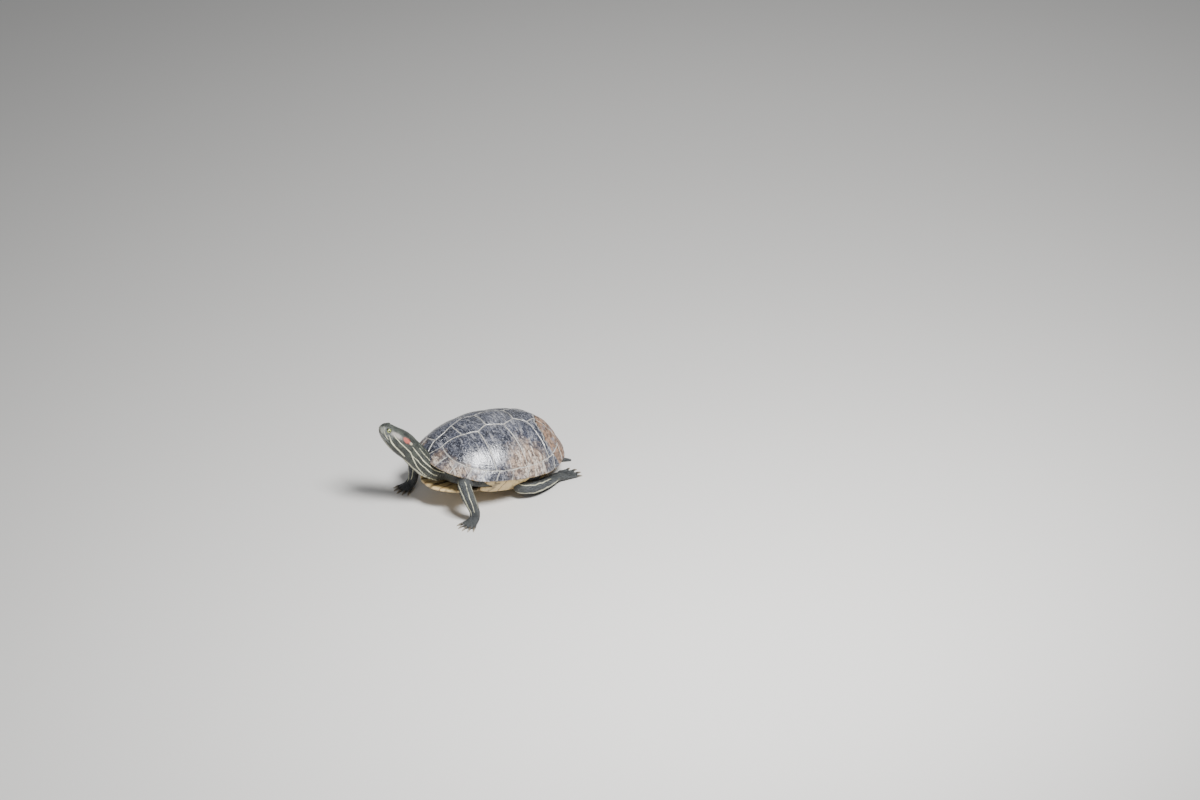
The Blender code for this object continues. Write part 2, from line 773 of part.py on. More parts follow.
def main():
    for old in list(bpy.data.objects):
        bpy.data.objects.remove(old)
    carapace = make_carapace()
    plastron = make_plastron()
    trunk = make_trunk()
    box_cutter("floor_cutter", (-1, -1, -1), (1, 1, 0), Matrix())
    trim_to_floor(plastron)
    core = [grown_copy(piece, GAP) for piece in (carapace, plastron, trunk)]
    bridges = [make_bridge("bridge_left", 1, core), make_bridge("bridge_right", -1, core)]
    cutters = core + bridges

    neck = tube("neck", NECK_LINE, SKIN, count=8, sides=16)
    fit_to_shell(neck, cutters)
    make_head(neck)
    for side in ("left", "right"):
        make_foreleg(side, cutters)
        make_hindleg(side, cutters)
    make_tail(cutters)
    centre_on_floor()


main()
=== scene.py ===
# %% [markdown]
# # An adult red-eared slider, basking
# A pond turtle is a box of bone and horn with soft, scaly limbs coming out of its
# openings. This lesson dresses the plain solids in three coats: horn scutes on the
# shell, one continuous skin over all the flesh, and the wet or hard small parts,
# which are the eyes and the claws. The solids load first. They stay where they are,
# and everything else is measured from them.

import math

import bmesh
import bpy
import numpy as np
from mathutils import Matrix, Vector


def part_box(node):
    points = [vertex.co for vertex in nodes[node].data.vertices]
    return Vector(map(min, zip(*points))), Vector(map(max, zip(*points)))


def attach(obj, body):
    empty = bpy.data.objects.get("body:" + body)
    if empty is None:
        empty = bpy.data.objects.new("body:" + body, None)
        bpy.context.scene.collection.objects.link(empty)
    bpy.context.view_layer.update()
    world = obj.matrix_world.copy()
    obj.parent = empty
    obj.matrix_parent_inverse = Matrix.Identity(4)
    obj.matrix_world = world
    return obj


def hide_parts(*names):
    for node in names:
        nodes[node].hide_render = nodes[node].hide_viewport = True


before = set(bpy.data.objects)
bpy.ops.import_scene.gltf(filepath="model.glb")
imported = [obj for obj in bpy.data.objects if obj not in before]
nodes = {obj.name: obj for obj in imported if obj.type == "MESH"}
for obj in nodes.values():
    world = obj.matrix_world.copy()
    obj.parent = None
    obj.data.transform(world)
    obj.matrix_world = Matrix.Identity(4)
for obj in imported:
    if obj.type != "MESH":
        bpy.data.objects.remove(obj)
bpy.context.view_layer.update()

# %% [markdown]
# ## Measuring along the shell
# The shell leans back over the propped forelegs, so its parts are easiest to describe
# in its own frame: how far forward, left and up from its middle, in shell lengths.
# The crown of the dome is the point of the carapace farthest along the shell's own
# up direction, and it fixes the frame's place.

# %% The shell's own frame
UNIT = 0.205  # the length of the shell, in metres
NOSE_UP = math.radians(11.5)
CROWN_FORWARD = -0.05
DOME_HEIGHT = 0.292
FORWARD = np.array([0, -math.cos(NOSE_UP), math.sin(NOSE_UP)])
LEFT = np.array([1.0, 0, 0])
UP = np.array([0, math.sin(NOSE_UP), math.cos(NOSE_UP)])


def vertices_of(thing):
    """The vertices of an object as an array, one row each."""
    flat = np.empty(len(thing.data.vertices) * 3)
    thing.data.vertices.foreach_get("co", flat)
    return flat.reshape(-1, 3)


shell_points = vertices_of(nodes["carapace"])
crown = shell_points[np.argmax(shell_points @ UP)]
SHELL_CENTRE = crown - UP * DOME_HEIGHT * UNIT - FORWARD * CROWN_FORWARD * UNIT
print("middle of the shell in mm:", np.round(SHELL_CENTRE * 1000, 1))


def from_shell(forward, left, up):
    """From shell lengths to metres over the floor; takes arrays too."""
    ahead, aside, high = (np.asarray(v, float)[..., None] for v in (forward, left, up))
    return SHELL_CENTRE + (ahead * FORWARD + aside * LEFT + high * UP) * UNIT


def to_shell(points):
    """From metres over the floor to forward, left and up in shell lengths."""
    away = (points - SHELL_CENTRE) / UNIT
    return away @ FORWARD, away @ LEFT, away @ UP


# %% [markdown]
# ## The dome in formulas
# The outline seen from above is a blunt ellipse with a shallow dip over the neck. Its
# edge rises towards the front and the back. The height over it is a power curve, fuller
# at the back, so that every later step can ask for the surface at any point.

# %% The formulas of the dome
def bell(value, width):
    """A smooth bump: 1 where value is 0, near 0 beyond twice the width."""
    return np.exp(-((value / width) ** 2))


HALF_WIDTH = 0.385
FRONT_REACH, REAR_REACH = 0.55, 0.487
OUTLINE_POWER = 2 / 2.3  # under 1 makes the outline blunter than an ellipse
NECK_DIP, NECK_DIP_SPREAD = 0.022, 0.11
FRONT_RISE, FRONT_RISE_FROM, FRONT_RISE_RUN = 0.055, 0.20, 0.30
REAR_RISE, REAR_RISE_FROM, REAR_RISE_RUN = 0.03, -0.25, 0.25
FULLNESS, REAR_FULLNESS = 2.05, 1.1
ROUNDNESS, END_ROUNDNESS = 0.66, 0.19
RIM_DEPTH = 0.016


def margin(angle):
    """Edge of the carapace from above: forward and left. Angle 0 is the front."""
    ahead = np.cos(angle)
    reach = np.where(ahead > 0, FRONT_REACH, REAR_REACH)
    forward = CROWN_FORWARD + reach * np.sign(ahead) * np.abs(ahead) ** OUTLINE_POWER
    left = HALF_WIDTH * np.sin(angle)
    neck_dip = NECK_DIP * bell(left, NECK_DIP_SPREAD) * (ahead > 0)
    return forward - neck_dip, left


def margin_height(forward):
    """Height of the edge over its lowest line, which lies at the middle of the shell."""
    front = np.clip((forward - FRONT_RISE_FROM) / FRONT_RISE_RUN, 0, None)
    rear = np.clip((REAR_RISE_FROM - forward) / REAR_RISE_RUN, 0, None)
    return FRONT_RISE * front**1.6 + REAR_RISE * rear**1.5


def dome(share, angle):
    """Height of the carapace at a share of the way from its crown to its edge."""
    ahead = np.cos(angle)
    fullness = FULLNESS + REAR_FULLNESS * np.clip(-ahead, 0, None) ** 2
    roundness = ROUNDNESS + END_ROUNDNESS * ahead**2
    edge = margin_height(margin(angle)[0])
    return edge + (DOME_HEIGHT - edge) * np.clip(1 - share**fullness, 0, 1) ** roundness


# %% [markdown]
# ## The carapace as a fine grid
# A dome could be spun round its crown, but then hundreds of slim triangles would meet
# at the highest and best lit point. A square grid bent into a disk has no such pole.
# Its rows are spread by arc length, so the steep flanks get as many points as the top.

# %% Grids bent to a disk
def disk_grid(count):
    """Radius and angle of each point of a square grid bent to the unit disk, and its quads."""
    line = np.linspace(-1, 1, count + 1)
    x, y = np.meshgrid(line, line, indexing="ij")
    u, v = x * np.sqrt(1 - y * y / 2), y * np.sqrt(1 - x * x / 2)
    index = np.arange((count + 1) ** 2).reshape(count + 1, count + 1)
    quads = np.stack([index[:-1, :-1], index[1:, :-1], index[1:, 1:], index[:-1, 1:]], -1)
    border = np.concatenate([index[:-1, 0], index[-1, :-1], index[:0:-1, -1], index[0, :0:-1]])
    return np.hypot(u, v).ravel(), np.arctan2(v, u).ravel(), quads.reshape(-1, 4), border


def even_share(radius, profile):
    """Turns grid radius into share of the outline, so that steps along the profile are even."""
    share = np.linspace(0, 1, 400)
    height = profile(share)
    step = np.hypot(np.diff(share) * HALF_WIDTH * 1.15, np.diff(height))
    arc = np.concatenate([[0], np.cumsum(step)])
    return np.interp(np.clip(radius, 0, 1), arc / arc[-1], share)


def make_mesh(name, points, faces):
    """A new object from arrays; faces may be a list of arrays of quads or triangles."""
    mesh = bpy.data.meshes.new(name)
    mesh.from_pydata(points.tolist(), [], [f for part in faces for f in part.tolist()])
    mesh.update()
    made = bpy.data.objects.new(name, mesh)
    bpy.context.scene.collection.objects.link(made)
    return made


def store(thing, name, values):
    """Keeps one number per vertex, for the materials to read."""
    layer = thing.data.attributes.new(name, "FLOAT", "POINT")
    layer.data.foreach_set("value", np.asarray(values, np.float32))


SHELL_GRID = 264
grid_radius, grid_angle, grid_quads, grid_border = disk_grid(SHELL_GRID)
grid_share = even_share(grid_radius, lambda s: dome(s, math.radians(60)))
print("carapace grid:", len(grid_radius), "points")

# %% [markdown]
# ## Where the scutes meet
# The horn of the carapace is laid in scutes: one nuchal over the neck, five vertebrals
# down the middle, four costals on each side and twelve marginals round each edge.
# A line that is drawn by testing each point of a mesh comes out ragged. So each family
# of seams becomes a smooth signed number that is zero on its seam and keeps its slope
# through it, and the material only has to look for the zero.

# %% Seam formulas
# vertebral and costal seams against the distance behind the front of the shell
VERTEBRALS = ([0, 0.243, 0.418, 0.634, 0.815, 1.04], [0.2, 1, 2, 3, 4, 4.7])
COSTALS = ([0, 0.345, 0.535, 0.72, 1.04], [0.15, 1, 2, 3, 3.8])
COSTAL_SLANT = ([0.10, 0.345, 0.535, 0.72, 0.96], [-0.1, 0.10, 0.26, 0.36, 0.5])
COLUMN_WAIST = (
    [0.06, 0.14, 0.183, 0.243, 0.345, 0.418, 0.535, 0.634, 0.72, 0.815, 0.93, 1.04],
    [0.05, 0.050, 0.053, 0.075, 0.112, 0.080, 0.114, 0.071, 0.108, 0.056, 0.13, 0.15],
)
# where the marginals begin, as a share of the outline, against degrees round from the front
MARGINAL_START = (
    [0, 2, 10, 23, 35, 49, 71, 84, 101, 124, 150, 180],
    [0.955, 0.95, 0.825, 0.870, 0.907, 0.932, 0.954, 0.957, 0.942, 0.928, 0.90, 0.89],
)
# seams between marginals against the length of margin from the middle of the front
MARGINALS = (
    [0, 0.010, 0.125, 0.245, 0.36, 0.465, 0.565, 0.675, 0.795, 0.92, 1.045, 1.17, 1.30, 1.435],
    [-0.5, 0, 1, 2, 3, 4, 5, 6, 7, 8, 9, 10, 11, 12],
)
MARGINAL_LEAN = 0.43


def wobble(a, b, seed):
    """A slow irregular wave, so that no seam is ruler straight."""
    first = 0.4 * np.sin(a * 23 + seed) + 0.35 * np.sin(a * 51 + b * 19 + seed * 2.3)
    return first + 0.25 * np.sin(b * 43 - a * 13 + seed * 1.7)


def margin_length(angle):
    """Length of margin from the middle of the front round to each angle."""
    around = np.linspace(0, math.pi, 2000)
    forward, left = margin(around)
    arc = np.concatenate([[0], np.cumsum(np.hypot(np.diff(forward), np.diff(left)))])
    return np.interp(np.abs(angle), around, arc)


def seam_cells(share, angle):
    """Numbers that are whole on the seams across, and zero on the seams along."""
    edge_forward, edge_left = margin(angle)
    forward = CROWN_FORWARD + share * (edge_forward - CROWN_FORWARD)
    behind, aside = 0.5 - forward, np.abs(share * edge_left)
    behind = behind + 0.0030 * wobble(behind, share * edge_left * 3, 1.0)
    aside = aside + 0.0026 * wobble(behind * 1.3, share * edge_left * 2, 4.0)
    slant = np.interp(behind, *COSTAL_SLANT)
    round_edge = margin_length(angle)
    lean = MARGINAL_LEAN * np.clip(round_edge / 0.12, 0, 1) * (share - 1)
    start = np.interp(np.degrees(np.abs(angle)), *MARGINAL_START)
    return {
        "vertebral": np.interp(behind, *VERTEBRALS),
        "costal": np.interp(behind - slant * (aside - 0.11), *COSTALS),
        "marginal": np.interp(round_edge + lean + 0.003 * wobble(share * 2, angle, 3), *MARGINALS),
        "column": aside - np.interp(behind, *COLUMN_WAIST),
        "band": share - start - 0.003 * wobble(angle * 2, angle, 2.0),
    }


cells = seam_cells(grid_share, grid_angle)
print("seam families:", ", ".join(cells))

# %% [markdown]
# ## From cell numbers to millimetres
# A seam should be as wide on a long scute as on a short one. Dividing a field by its
# slope along the surface turns it into a distance, and the sine of a cell number
# gives every whole number its own zero.

# %% Distances to the seams
def grid_slope(field, points, count):
    """How fast a field changes per metre along a square grid of points."""
    grid = points.reshape(count + 1, count + 1, 3)
    values = field.reshape(count + 1, count + 1)
    along, across = np.gradient(grid, axis=0), np.gradient(grid, axis=1)
    rise, run = np.gradient(values, axis=0), np.gradient(values, axis=1)
    a, b, c = (along**2).sum(-1), (along * across).sum(-1), (across**2).sum(-1)
    area = np.clip(a * c - b * b, 1e-18, None)
    return np.sqrt(np.clip((c * rise**2 - 2 * b * rise * run + a * run**2) / area, 1e-4, None)).ravel()


def grid_normals(points, count):
    grid = points.reshape(count + 1, count + 1, 3)
    normal = np.cross(np.gradient(grid, axis=0), np.gradient(grid, axis=1)).reshape(-1, 3)
    normal /= np.linalg.norm(normal, axis=1, keepdims=True) + 1e-12
    return normal * np.sign(normal[len(normal) // 2] @ UP)


def settle_corners(values, count):
    """Gives the corners of a grid, where it folds flat, the mean of their two neighbours."""
    grid = values.reshape(count + 1, count + 1, -1)
    for row, next_row in ((0, 1), (-1, -2)):
        for column, next_column in ((0, 1), (-1, -2)):
            grid[row, column] = (grid[next_row, column] + grid[row, next_column]) / 2


def seam_distances(cells, points, count):
    """Signed distances in millimetres: across seams by sine, along seams directly."""
    out = {}
    for name, cell in cells.items():
        pace = np.clip(grid_slope(cell, points, count), 3.0, None) / 1000
        if name in ("column", "band"):
            out[name] = np.clip(cell / pace, -60, 60)
        else:
            out[name] = np.sin(math.pi * cell) / math.pi / pace
        settle_corners(out[name], count)
    return out


def nearest_seam(gap):
    """Distance in millimetres to the closest seam."""
    outer, inner = gap["band"] > 0, gap["column"] < 0
    across = np.where(inner, gap["vertebral"], gap["costal"])
    on_dome = np.minimum(np.abs(across), np.abs(gap["column"]))
    return np.minimum(np.abs(gap["band"]), np.where(outer, np.abs(gap["marginal"]), on_dome))


edge_forward, edge_left = margin(grid_angle)
grid_forward = CROWN_FORWARD + grid_share * (edge_forward - CROWN_FORWARD)
grid_left = grid_share * edge_left
dome_points = from_shell(grid_forward, grid_left, dome(grid_share, grid_angle))
gap = seam_distances(cells, dome_points, SHELL_GRID)
seam = nearest_seam(gap)
print("widest half scute:", round(float(seam.max()), 1), "mm")

# %% [markdown]
# ## Relief of the horn
# Each scute swells a little between sunken seams. A low keel runs along the
# vertebrals, the rear marginals flare and notch where two of them meet, and at the
# back old horn has come away in plates, which leaves a step where the crack runs.

# %% Shape the carapace
def smooth_noise(points, size, seed):
    """Cheap solid noise between -1 and 1: a few crossed waves of about the given size."""
    rng = np.random.default_rng(seed)
    total = np.zeros(len(points))
    for _ in range(7):
        way = rng.normal(size=3)
        way *= rng.uniform(0.6, 1.7) / np.linalg.norm(way)
        total += np.sin(points @ way * (2 * math.pi / size) + rng.uniform(0, 6.28))
    return total / 4.2


# the two cracks in the horn: how far forward they run, against the distance aside
FIRST_CRACK = (
    [0, 0.05, 0.10, 0.14, 0.19, 0.235, 0.26, 0.285, 0.31],
    [-0.335, -0.318, -0.290, -0.287, -0.302, -0.304, -0.318, -0.36, -0.45],
)
SECOND_CRACK = ([0, 0.06, 0.12, 0.165, 0.20], [-0.488, -0.474, -0.452, -0.437, -0.47])


def past_crack(course, ragged):
    """Millimetres behind a crack; ragged is how much its course wavers."""
    line = np.interp(np.abs(grid_left), *course) - 0.012 * np.clip(-grid_left / 0.2, 0, 1)
    return (line + ragged * wobble(grid_left * 4, -grid_forward, 5.0) - grid_forward) * UNIT * 1000


# heights and widths of the relief, in millimetres
SCUTE_SWELL, SCUTE_SHOULDER = 0.75, 7.0
SEAM_DEPTH, SEAM_WIDTH = 0.50, 0.8
KEEL_HEIGHT, KEEL_WIDTH = 1.1, 5.0
SUNK = 0.5  # how far the whole horn lies inside the formula's dome
peel, peel_again = past_crack(FIRST_CRACK, 0.006), past_crack(SECOND_CRACK, 0.009)
rearness = np.clip((np.degrees(np.abs(grid_angle)) - 95) / 60, 0, 1)
rim_share = np.clip((grid_share - 0.80) / 0.20, 0, 1)
relief = SCUTE_SWELL * (1 - np.exp(-seam / SCUTE_SHOULDER)) - SEAM_DEPTH * bell(seam, SEAM_WIDTH) - SUNK
keel_bump = 0.6 + 0.4 * (cells["vertebral"] % 1) ** 2
relief += KEEL_HEIGHT * keel_bump * bell(grid_left * UNIT * 1000, KEEL_WIDTH) * (grid_share < 0.86)
relief += 0.22 * smooth_noise(dome_points, 0.034, 1) + 0.10 * smooth_noise(dome_points, 0.011, 2)
for past, height in ((peel, 1.0), (peel_again, 0.7)):
    step = 1 / (1 + np.exp(-past / 0.35))
    relief += height * ((0.55 - 1.15 * step) * bell(past, 9) - 0.3 * step)
dome_normals = grid_normals(dome_points, SHELL_GRID)
shaped = dome_points + dome_normals * relief[:, None] / 1000
notch = 1 - 0.75 * np.abs(np.sin(math.pi * cells["marginal"])) ** 0.6
outward = dome_points - from_shell(CROWN_FORWARD, 0, 0.1)
outward -= (outward @ UP)[:, None] * UP
outward /= np.linalg.norm(outward, axis=1, keepdims=True) + 1e-9
flare = (2.4 - 1.9 * notch) * rearness * rim_share**3 + 0.6 * rim_share**4
shaped += outward * flare[:, None] / 1000
settle_corners(shaped, SHELL_GRID)
print("relief from", round(float(relief.min()), 2), "to", round(float(relief.max()), 2), "mm")

# %% [markdown]
# ## Edge and inside of the carapace
# The grid ends at the margin. From there rings carry the surface round the blunt edge,
# in under the marginals, which are plated too, and up the inner wall, so that the piece
# is closed and has its real thickness.

# %% Close the carapace
SHELL_WALL, RIM_INSET = 0.024, 0.83
border_angle = grid_angle[grid_border]
border_lift = margin_height(margin(border_angle)[0])
edge_out = outward[grid_border]


def under_ring(share, height):
    forward, left = margin(border_angle)
    forward = CROWN_FORWARD + share * (forward - CROWN_FORWARD)
    return from_shell(forward, share * left, height)


def wall_height(share):
    inside = dome(share, border_angle) - SHELL_WALL * (1 + 0.6 * share**4)
    return np.maximum(inside, border_lift - RIM_DEPTH * 1.1 + 0.004)


rim = shaped[grid_border]
rings = [rim + (edge_out * a - UP * b) / 1000 for a, b in ((0.45, 0.7), (0.5, 1.7), (-0.2, 2.7))]
for share, drop in ((0.965, 1.0), (0.93, 1.12), (0.88, 1.12), (RIM_INSET, 1.1)):
    rings.append(under_ring(share, border_lift - RIM_DEPTH * drop))
for share in (RIM_INSET - 0.004, 0.72, 0.56, 0.36, 0.18):
    rings.append(under_ring(share, wall_height(share)))
ceiling = from_shell(CROWN_FORWARD, 0, DOME_HEIGHT - SHELL_WALL)


def closed_plate(name, face, quads, border, rings, last, flipped=False):
    """A closed piece: a grid of points, rings that lead on from its border, one last point."""
    count = len(border)
    loops = [border] + [len(face) + count * k + np.arange(count) for k in range(len(rings))]
    parts = [quads]
    for first, second in zip(loops, loops[1:]):
        parts.append(np.stack([first, second, np.roll(second, -1), np.roll(first, -1)], -1))
    tip = np.full(count, len(face) + count * len(rings))
    parts.append(np.stack([loops[-1], tip, np.roll(loops[-1], -1)], -1))
    points = np.concatenate([face, *rings, last[None]])
    points[:, 2] = np.maximum(points[:, 2], 0)
    return make_mesh(name, points, [part[:, ::-1] if flipped else part for part in parts])


carapace = closed_plate("carapace_scutes", shaped, grid_quads, grid_border, rings, ceiling)
carapace.data.shade_smooth()
print("carapace:", sum(len(f.vertices) - 2 for f in carapace.data.polygons), "triangles")

# %% [markdown]
# ## What each point of the horn knows
# The distances to the seams and cracks are kept at the points, for the finish to read.
# Dried mud, laid where water and the animal's own legs leave it, and a painted highlight
# with painted sky reflection on the flanks are soft ellipses on the shell.

# %% Keep the fields
count = len(grid_border)


def with_rings(values, beyond=None):
    """Extends a value per grid point to the rings, which take their border point's value."""
    border = values[grid_border] if beyond is None else np.full(count, beyond)
    return np.concatenate([values, np.tile(border, len(rings)), [border[0]]])


for name in ("vertebral", "costal", "marginal", "column"):
    store(carapace, "seam_" + name, with_rings(gap[name]))
store(carapace, "seam_band", with_rings(gap["band"], 12.0))
store(carapace, "seam_near", with_rings(seam))
store(carapace, "peel", with_rings(np.clip(peel, -80, 80)))
store(carapace, "peel_again", with_rings(np.clip(peel_again, -80, 80)))
store(carapace, "under", np.concatenate([np.zeros(len(shaped)), np.repeat([0, 0.3, 0.8], count),
                                         np.ones(count * (len(rings) - 3) + 1)]))
MUD_SPOTS = (  # forward, left, reach along, reach across, strength
    (-0.06, 0.350, 0.12, 0.055, 1.0), (-0.20, 0.335, 0.09, 0.05, 0.8), (0.44, 0.095, 0.05, 0.05, 1.0),
    (0.41, 0.205, 0.05, 0.045, 0.8), (0.34, 0.265, 0.06, 0.035, 0.8), (0.26, 0.32, 0.06, 0.03, 0.6),
    (-0.10, 0.255, 0.13, 0.06, 0.5), (-0.10, -0.34, 0.14, 0.07, 1.0), (0.30, -0.28, 0.10, 0.06, 0.8),
    (0.43, -0.14, 0.05, 0.06, 0.7), (-0.30, -0.25, 0.10, 0.06, 0.5))
PAINTED_SHEEN_SPOTS = (  # the same measures, where a pale painted highlight and painted sky reflection lie
    (0.23, 0.27, 0.09, 0.05, 0.9), (0.23, 0.345, 0.10, 0.03, 0.8), (0.10, 0.30, 0.05, 0.06, 0.55),
    (-0.05, 0.39, 0.05, 0.025, 0.8), (-0.20, 0.36, 0.04, 0.03, 0.8), (-0.335, 0.265, 0.04, 0.035, 0.8),
    (0.12, -0.31, 0.10, 0.05, 0.9), (-0.04, -0.385, 0.10, 0.03, 0.8))
for name, spots in (("mud", MUD_SPOTS), ("worn", PAINTED_SHEEN_SPOTS)):
    cover = np.zeros(len(grid_left))
    for forward, left, along, across, strength in spots:
        cover += strength * bell(grid_forward - forward, along) * bell(grid_left - left, across)
    store(carapace, name, with_rings(np.clip(cover, 0, 1.2)))
print("fields on the carapace:", len(carapace.data.attributes))

# %% [markdown]
# ## Two helpers for node trees
# A finish and a shape tree are both nodes that feed each other. The first helper adds a
# node with its settings and sees to it that every input gets a link or a plain value.

# %% The node helper
class Network:
    """Adds nodes to a tree, one step at a time."""

    def __init__(self, tree):
        self.nodes, self.links = tree.nodes, tree.links

    def connect(self, socket, value):
        if isinstance(value, bpy.types.NodeSocket):
            self.links.new(value, socket)
        elif socket.type == "RGBA":
            socket.default_value = (*value, 1.0)
        else:
            socket.default_value = value

    def node(self, kind, inputs=None, **settings):
        made = self.nodes.new(kind)
        for key, value in settings.items():
            setattr(made, key, value)
        for key, value in (inputs or {}).items():
            self.connect(made.inputs[key], value)
        return made

    def math(self, operation, *values):
        return self.node("ShaderNodeMath", dict(enumerate(values)), operation=operation).outputs[0]


print("node helper ready")

# %% [markdown]
# ## Finishes as recipes
# Every finish here is a small network of noises, masks and mixes. The second helper keeps
# each step to one line, so that a finish reads like a recipe: what covers what, and where.

# %% The paint helper
class Paint(Network):
    """Builds a material; sizes are in millimetres."""

    def __init__(self, name):
        self.material = bpy.data.materials.new(name)
        self.material.use_nodes = True
        super().__init__(self.material.node_tree)
        self.shader = self.nodes["Principled BSDF"]
        self.place = self.nodes.new("ShaderNodeTexCoord").outputs["Object"]
        self.normal = None

    def field(self, name):
        return self.node("ShaderNodeAttribute", attribute_name=name).outputs["Fac"]

    def times(self, first, second):
        return self.math("MULTIPLY", first, second)

    def scaled_sum(self, value, scale, addend):
        return self.math("MULTIPLY_ADD", value, scale, addend)

    def least(self, first, second):
        return self.math("MINIMUM", first, second)

    def size_of(self, value):
        return self.math("ABSOLUTE", value)

    def mask(self, value, start, end, low=0.0, high=1.0):
        """Rises smoothly from low at start to high at end; start may be the larger."""
        inputs = {"Value": value, "From Min": start, "From Max": end, "To Min": low, "To Max": high}
        return self.node("ShaderNodeMapRange", inputs, interpolation_type="SMOOTHSTEP").outputs[0]

    def noise(self, size, detail=3.0, rough=0.55, warp=0.0, stretch=None):
        place = self.place
        if stretch is not None:
            place = self.node("ShaderNodeMapping", {"Vector": place, "Scale": stretch}).outputs[0]
        inputs = {"Vector": place, "Scale": 1000 / size, "Detail": detail}
        inputs.update({"Roughness": rough, "Distortion": warp})
        return self.node("ShaderNodeTexNoise", inputs).outputs["Fac"]

    def cells(self, size, feature):
        inputs = {"Vector": self.place, "Scale": 1000 / size}
        return self.node("ShaderNodeTexVoronoi", inputs, feature=feature).outputs["Distance"]

    def blend(self, share, first, second):
        """Mixes two colours, or two numbers."""
        colour = isinstance(first, tuple) or getattr(first, "type", "") == "RGBA"
        kind, slots, out = ("RGBA", (6, 7), 2) if colour else ("FLOAT", (2, 3), 0)
        inputs = {0: share, slots[0]: first, slots[1]: second}
        return self.node("ShaderNodeMix", inputs, data_type=kind).outputs[out]

    def over(self, base, colour, share, weight):
        """Lays a colour over a base where share is high, with up to the given weight."""
        return self.blend(self.times(share, weight), base, colour)

    def bump(self, height, depth):
        """Adds relief of the given depth in millimetres on top of what is there."""
        inputs = {"Height": height, "Distance": depth / 1000, "Strength": 1.0}
        if self.normal is not None:
            inputs["Normal"] = self.normal
        self.normal = self.node("ShaderNodeBump", inputs).outputs[0]

    def finish(self, thing, colour, roughness, **more):
        inputs = {"Base Color": colour, "Roughness": roughness, **more}
        if self.normal is not None:
            inputs["Normal"] = self.normal
        for name, value in inputs.items():
            self.connect(self.shader.inputs[name], value)
        thing.data.materials.clear()
        thing.data.materials.append(self.material)


print("paint helper ready")

# %% [markdown]
# ## Horn of the carapace
# Old sliders lose their green and yellow. The horn is slate with paler speckle, the
# seams are chalky, and fine streaks run down each costal. The finish starts with the
# lines of the seams and the slate between them.

# %% Slate horn
paint = Paint("old_horn")
band, column = paint.field("seam_band"), paint.field("seam_column")
outer = paint.math("GREATER_THAN", band, 0.0)
inner = paint.math("LESS_THAN", column, 0.0)
across = paint.blend(inner, paint.field("seam_costal"), paint.field("seam_vertebral"))
across = paint.blend(outer, across, paint.field("seam_marginal"))
along = paint.math("ADD", paint.size_of(column), paint.times(outer, 99.0))
to_seam = paint.least(paint.size_of(across), along)
to_seam = paint.least(to_seam, paint.size_of(band))
ragged = paint.scaled_sum(paint.noise(3.0, 3.0), 1.1, to_seam)
whole = paint.mask(paint.noise(7.0, 3.0, 0.6), 0.34, 0.50, 0.35, 1.0)
seam_line = paint.times(paint.mask(ragged, 1.62, 0.95), whole)

drift = paint.noise(26.0, 4.0, 0.6, 0.4)
grain = paint.noise(2.5, 4.0, 0.75, 0.3)
blotch = paint.noise(5.5, 4.0, 0.7, 0.4)
streaks = paint.noise(3.0, 4.0, 0.65, 0.5, (0.20, 1.0, 0.20))
# the blue cast of this slate is partly painted sky reflection
horn = paint.blend(paint.mask(drift, 0.36, 0.66), (0.016, 0.018, 0.026), (0.048, 0.052, 0.072))
horn = paint.blend(paint.mask(blotch, 0.50, 0.63, 0.0, 0.7), horn, (0.090, 0.096, 0.124))
horn = paint.blend(paint.mask(grain, 0.53, 0.62, 0.0, 0.72), horn, (0.200, 0.207, 0.246))
streak_share = paint.times(paint.mask(streaks, 0.53, 0.61), paint.mask(drift, 0.34, 0.55))
horn = paint.over(horn, (0.29, 0.29, 0.305), streak_share, 0.7)
pits = paint.mask(paint.noise(2.2, 3.0, 0.65), 0.46, 0.38)
horn = paint.over(horn, (0.007, 0.007, 0.010), pits, 0.85)
ring_phase = paint.times(paint.field("seam_near"), 2.0)
ring_wave = paint.math("SINE", paint.scaled_sum(drift, 14.0, ring_phase))
ring_line = paint.times(paint.mask(ring_wave, 0.6, 0.98), paint.mask(blotch, 0.46, 0.62))
horn = paint.over(horn, (0.25, 0.25, 0.265), ring_line, 0.4)
print("slate horn:", len(paint.nodes), "nodes")

# %% [markdown]
# ### Painted sheen, mud and peeled plates
# A pale painted highlight with painted sky reflection, and dried mud, lie over the slate on
# the flanks. Where plates have peeled at the back the horn below is brown.

# %% What lies over the slate
# painted highlight and painted sky reflection: pale patches, broken by streaks and grain
sheen_edge = paint.scaled_sum(paint.noise(6.0, 5.0, 0.72, 0.4), 1.6, paint.field("worn"))
sheen_tone = paint.blend(paint.mask(streaks, 0.38, 0.60), (0.24, 0.25, 0.30), (0.72, 0.72, 0.75))
sheen_tone = paint.blend(paint.mask(grain, 0.47, 0.41, 0.0, 0.8), sheen_tone, (0.085, 0.090, 0.120))
horn = paint.blend(paint.mask(sheen_edge, 1.15, 1.80, 0.0, 0.85), horn, sheen_tone)

mud_edge = paint.scaled_sum(paint.noise(11.0, 6.0, 0.75, 0.5), 1.7, paint.field("mud"))
mud_share = paint.mask(mud_edge, 1.05, 1.75)
mud_colour = paint.blend(paint.mask(blotch, 0.42, 0.58), (0.085, 0.052, 0.036), (0.34, 0.240, 0.170))
mud_colour = paint.blend(paint.mask(streaks, 0.52, 0.58, 0.0, 0.85), mud_colour, (0.60, 0.52, 0.43))
mud_colour = paint.blend(paint.mask(grain, 0.48, 0.42, 0.0, 0.85), mud_colour, (0.035, 0.027, 0.024))
horn = paint.over(horn, mud_colour, mud_share, 0.88)

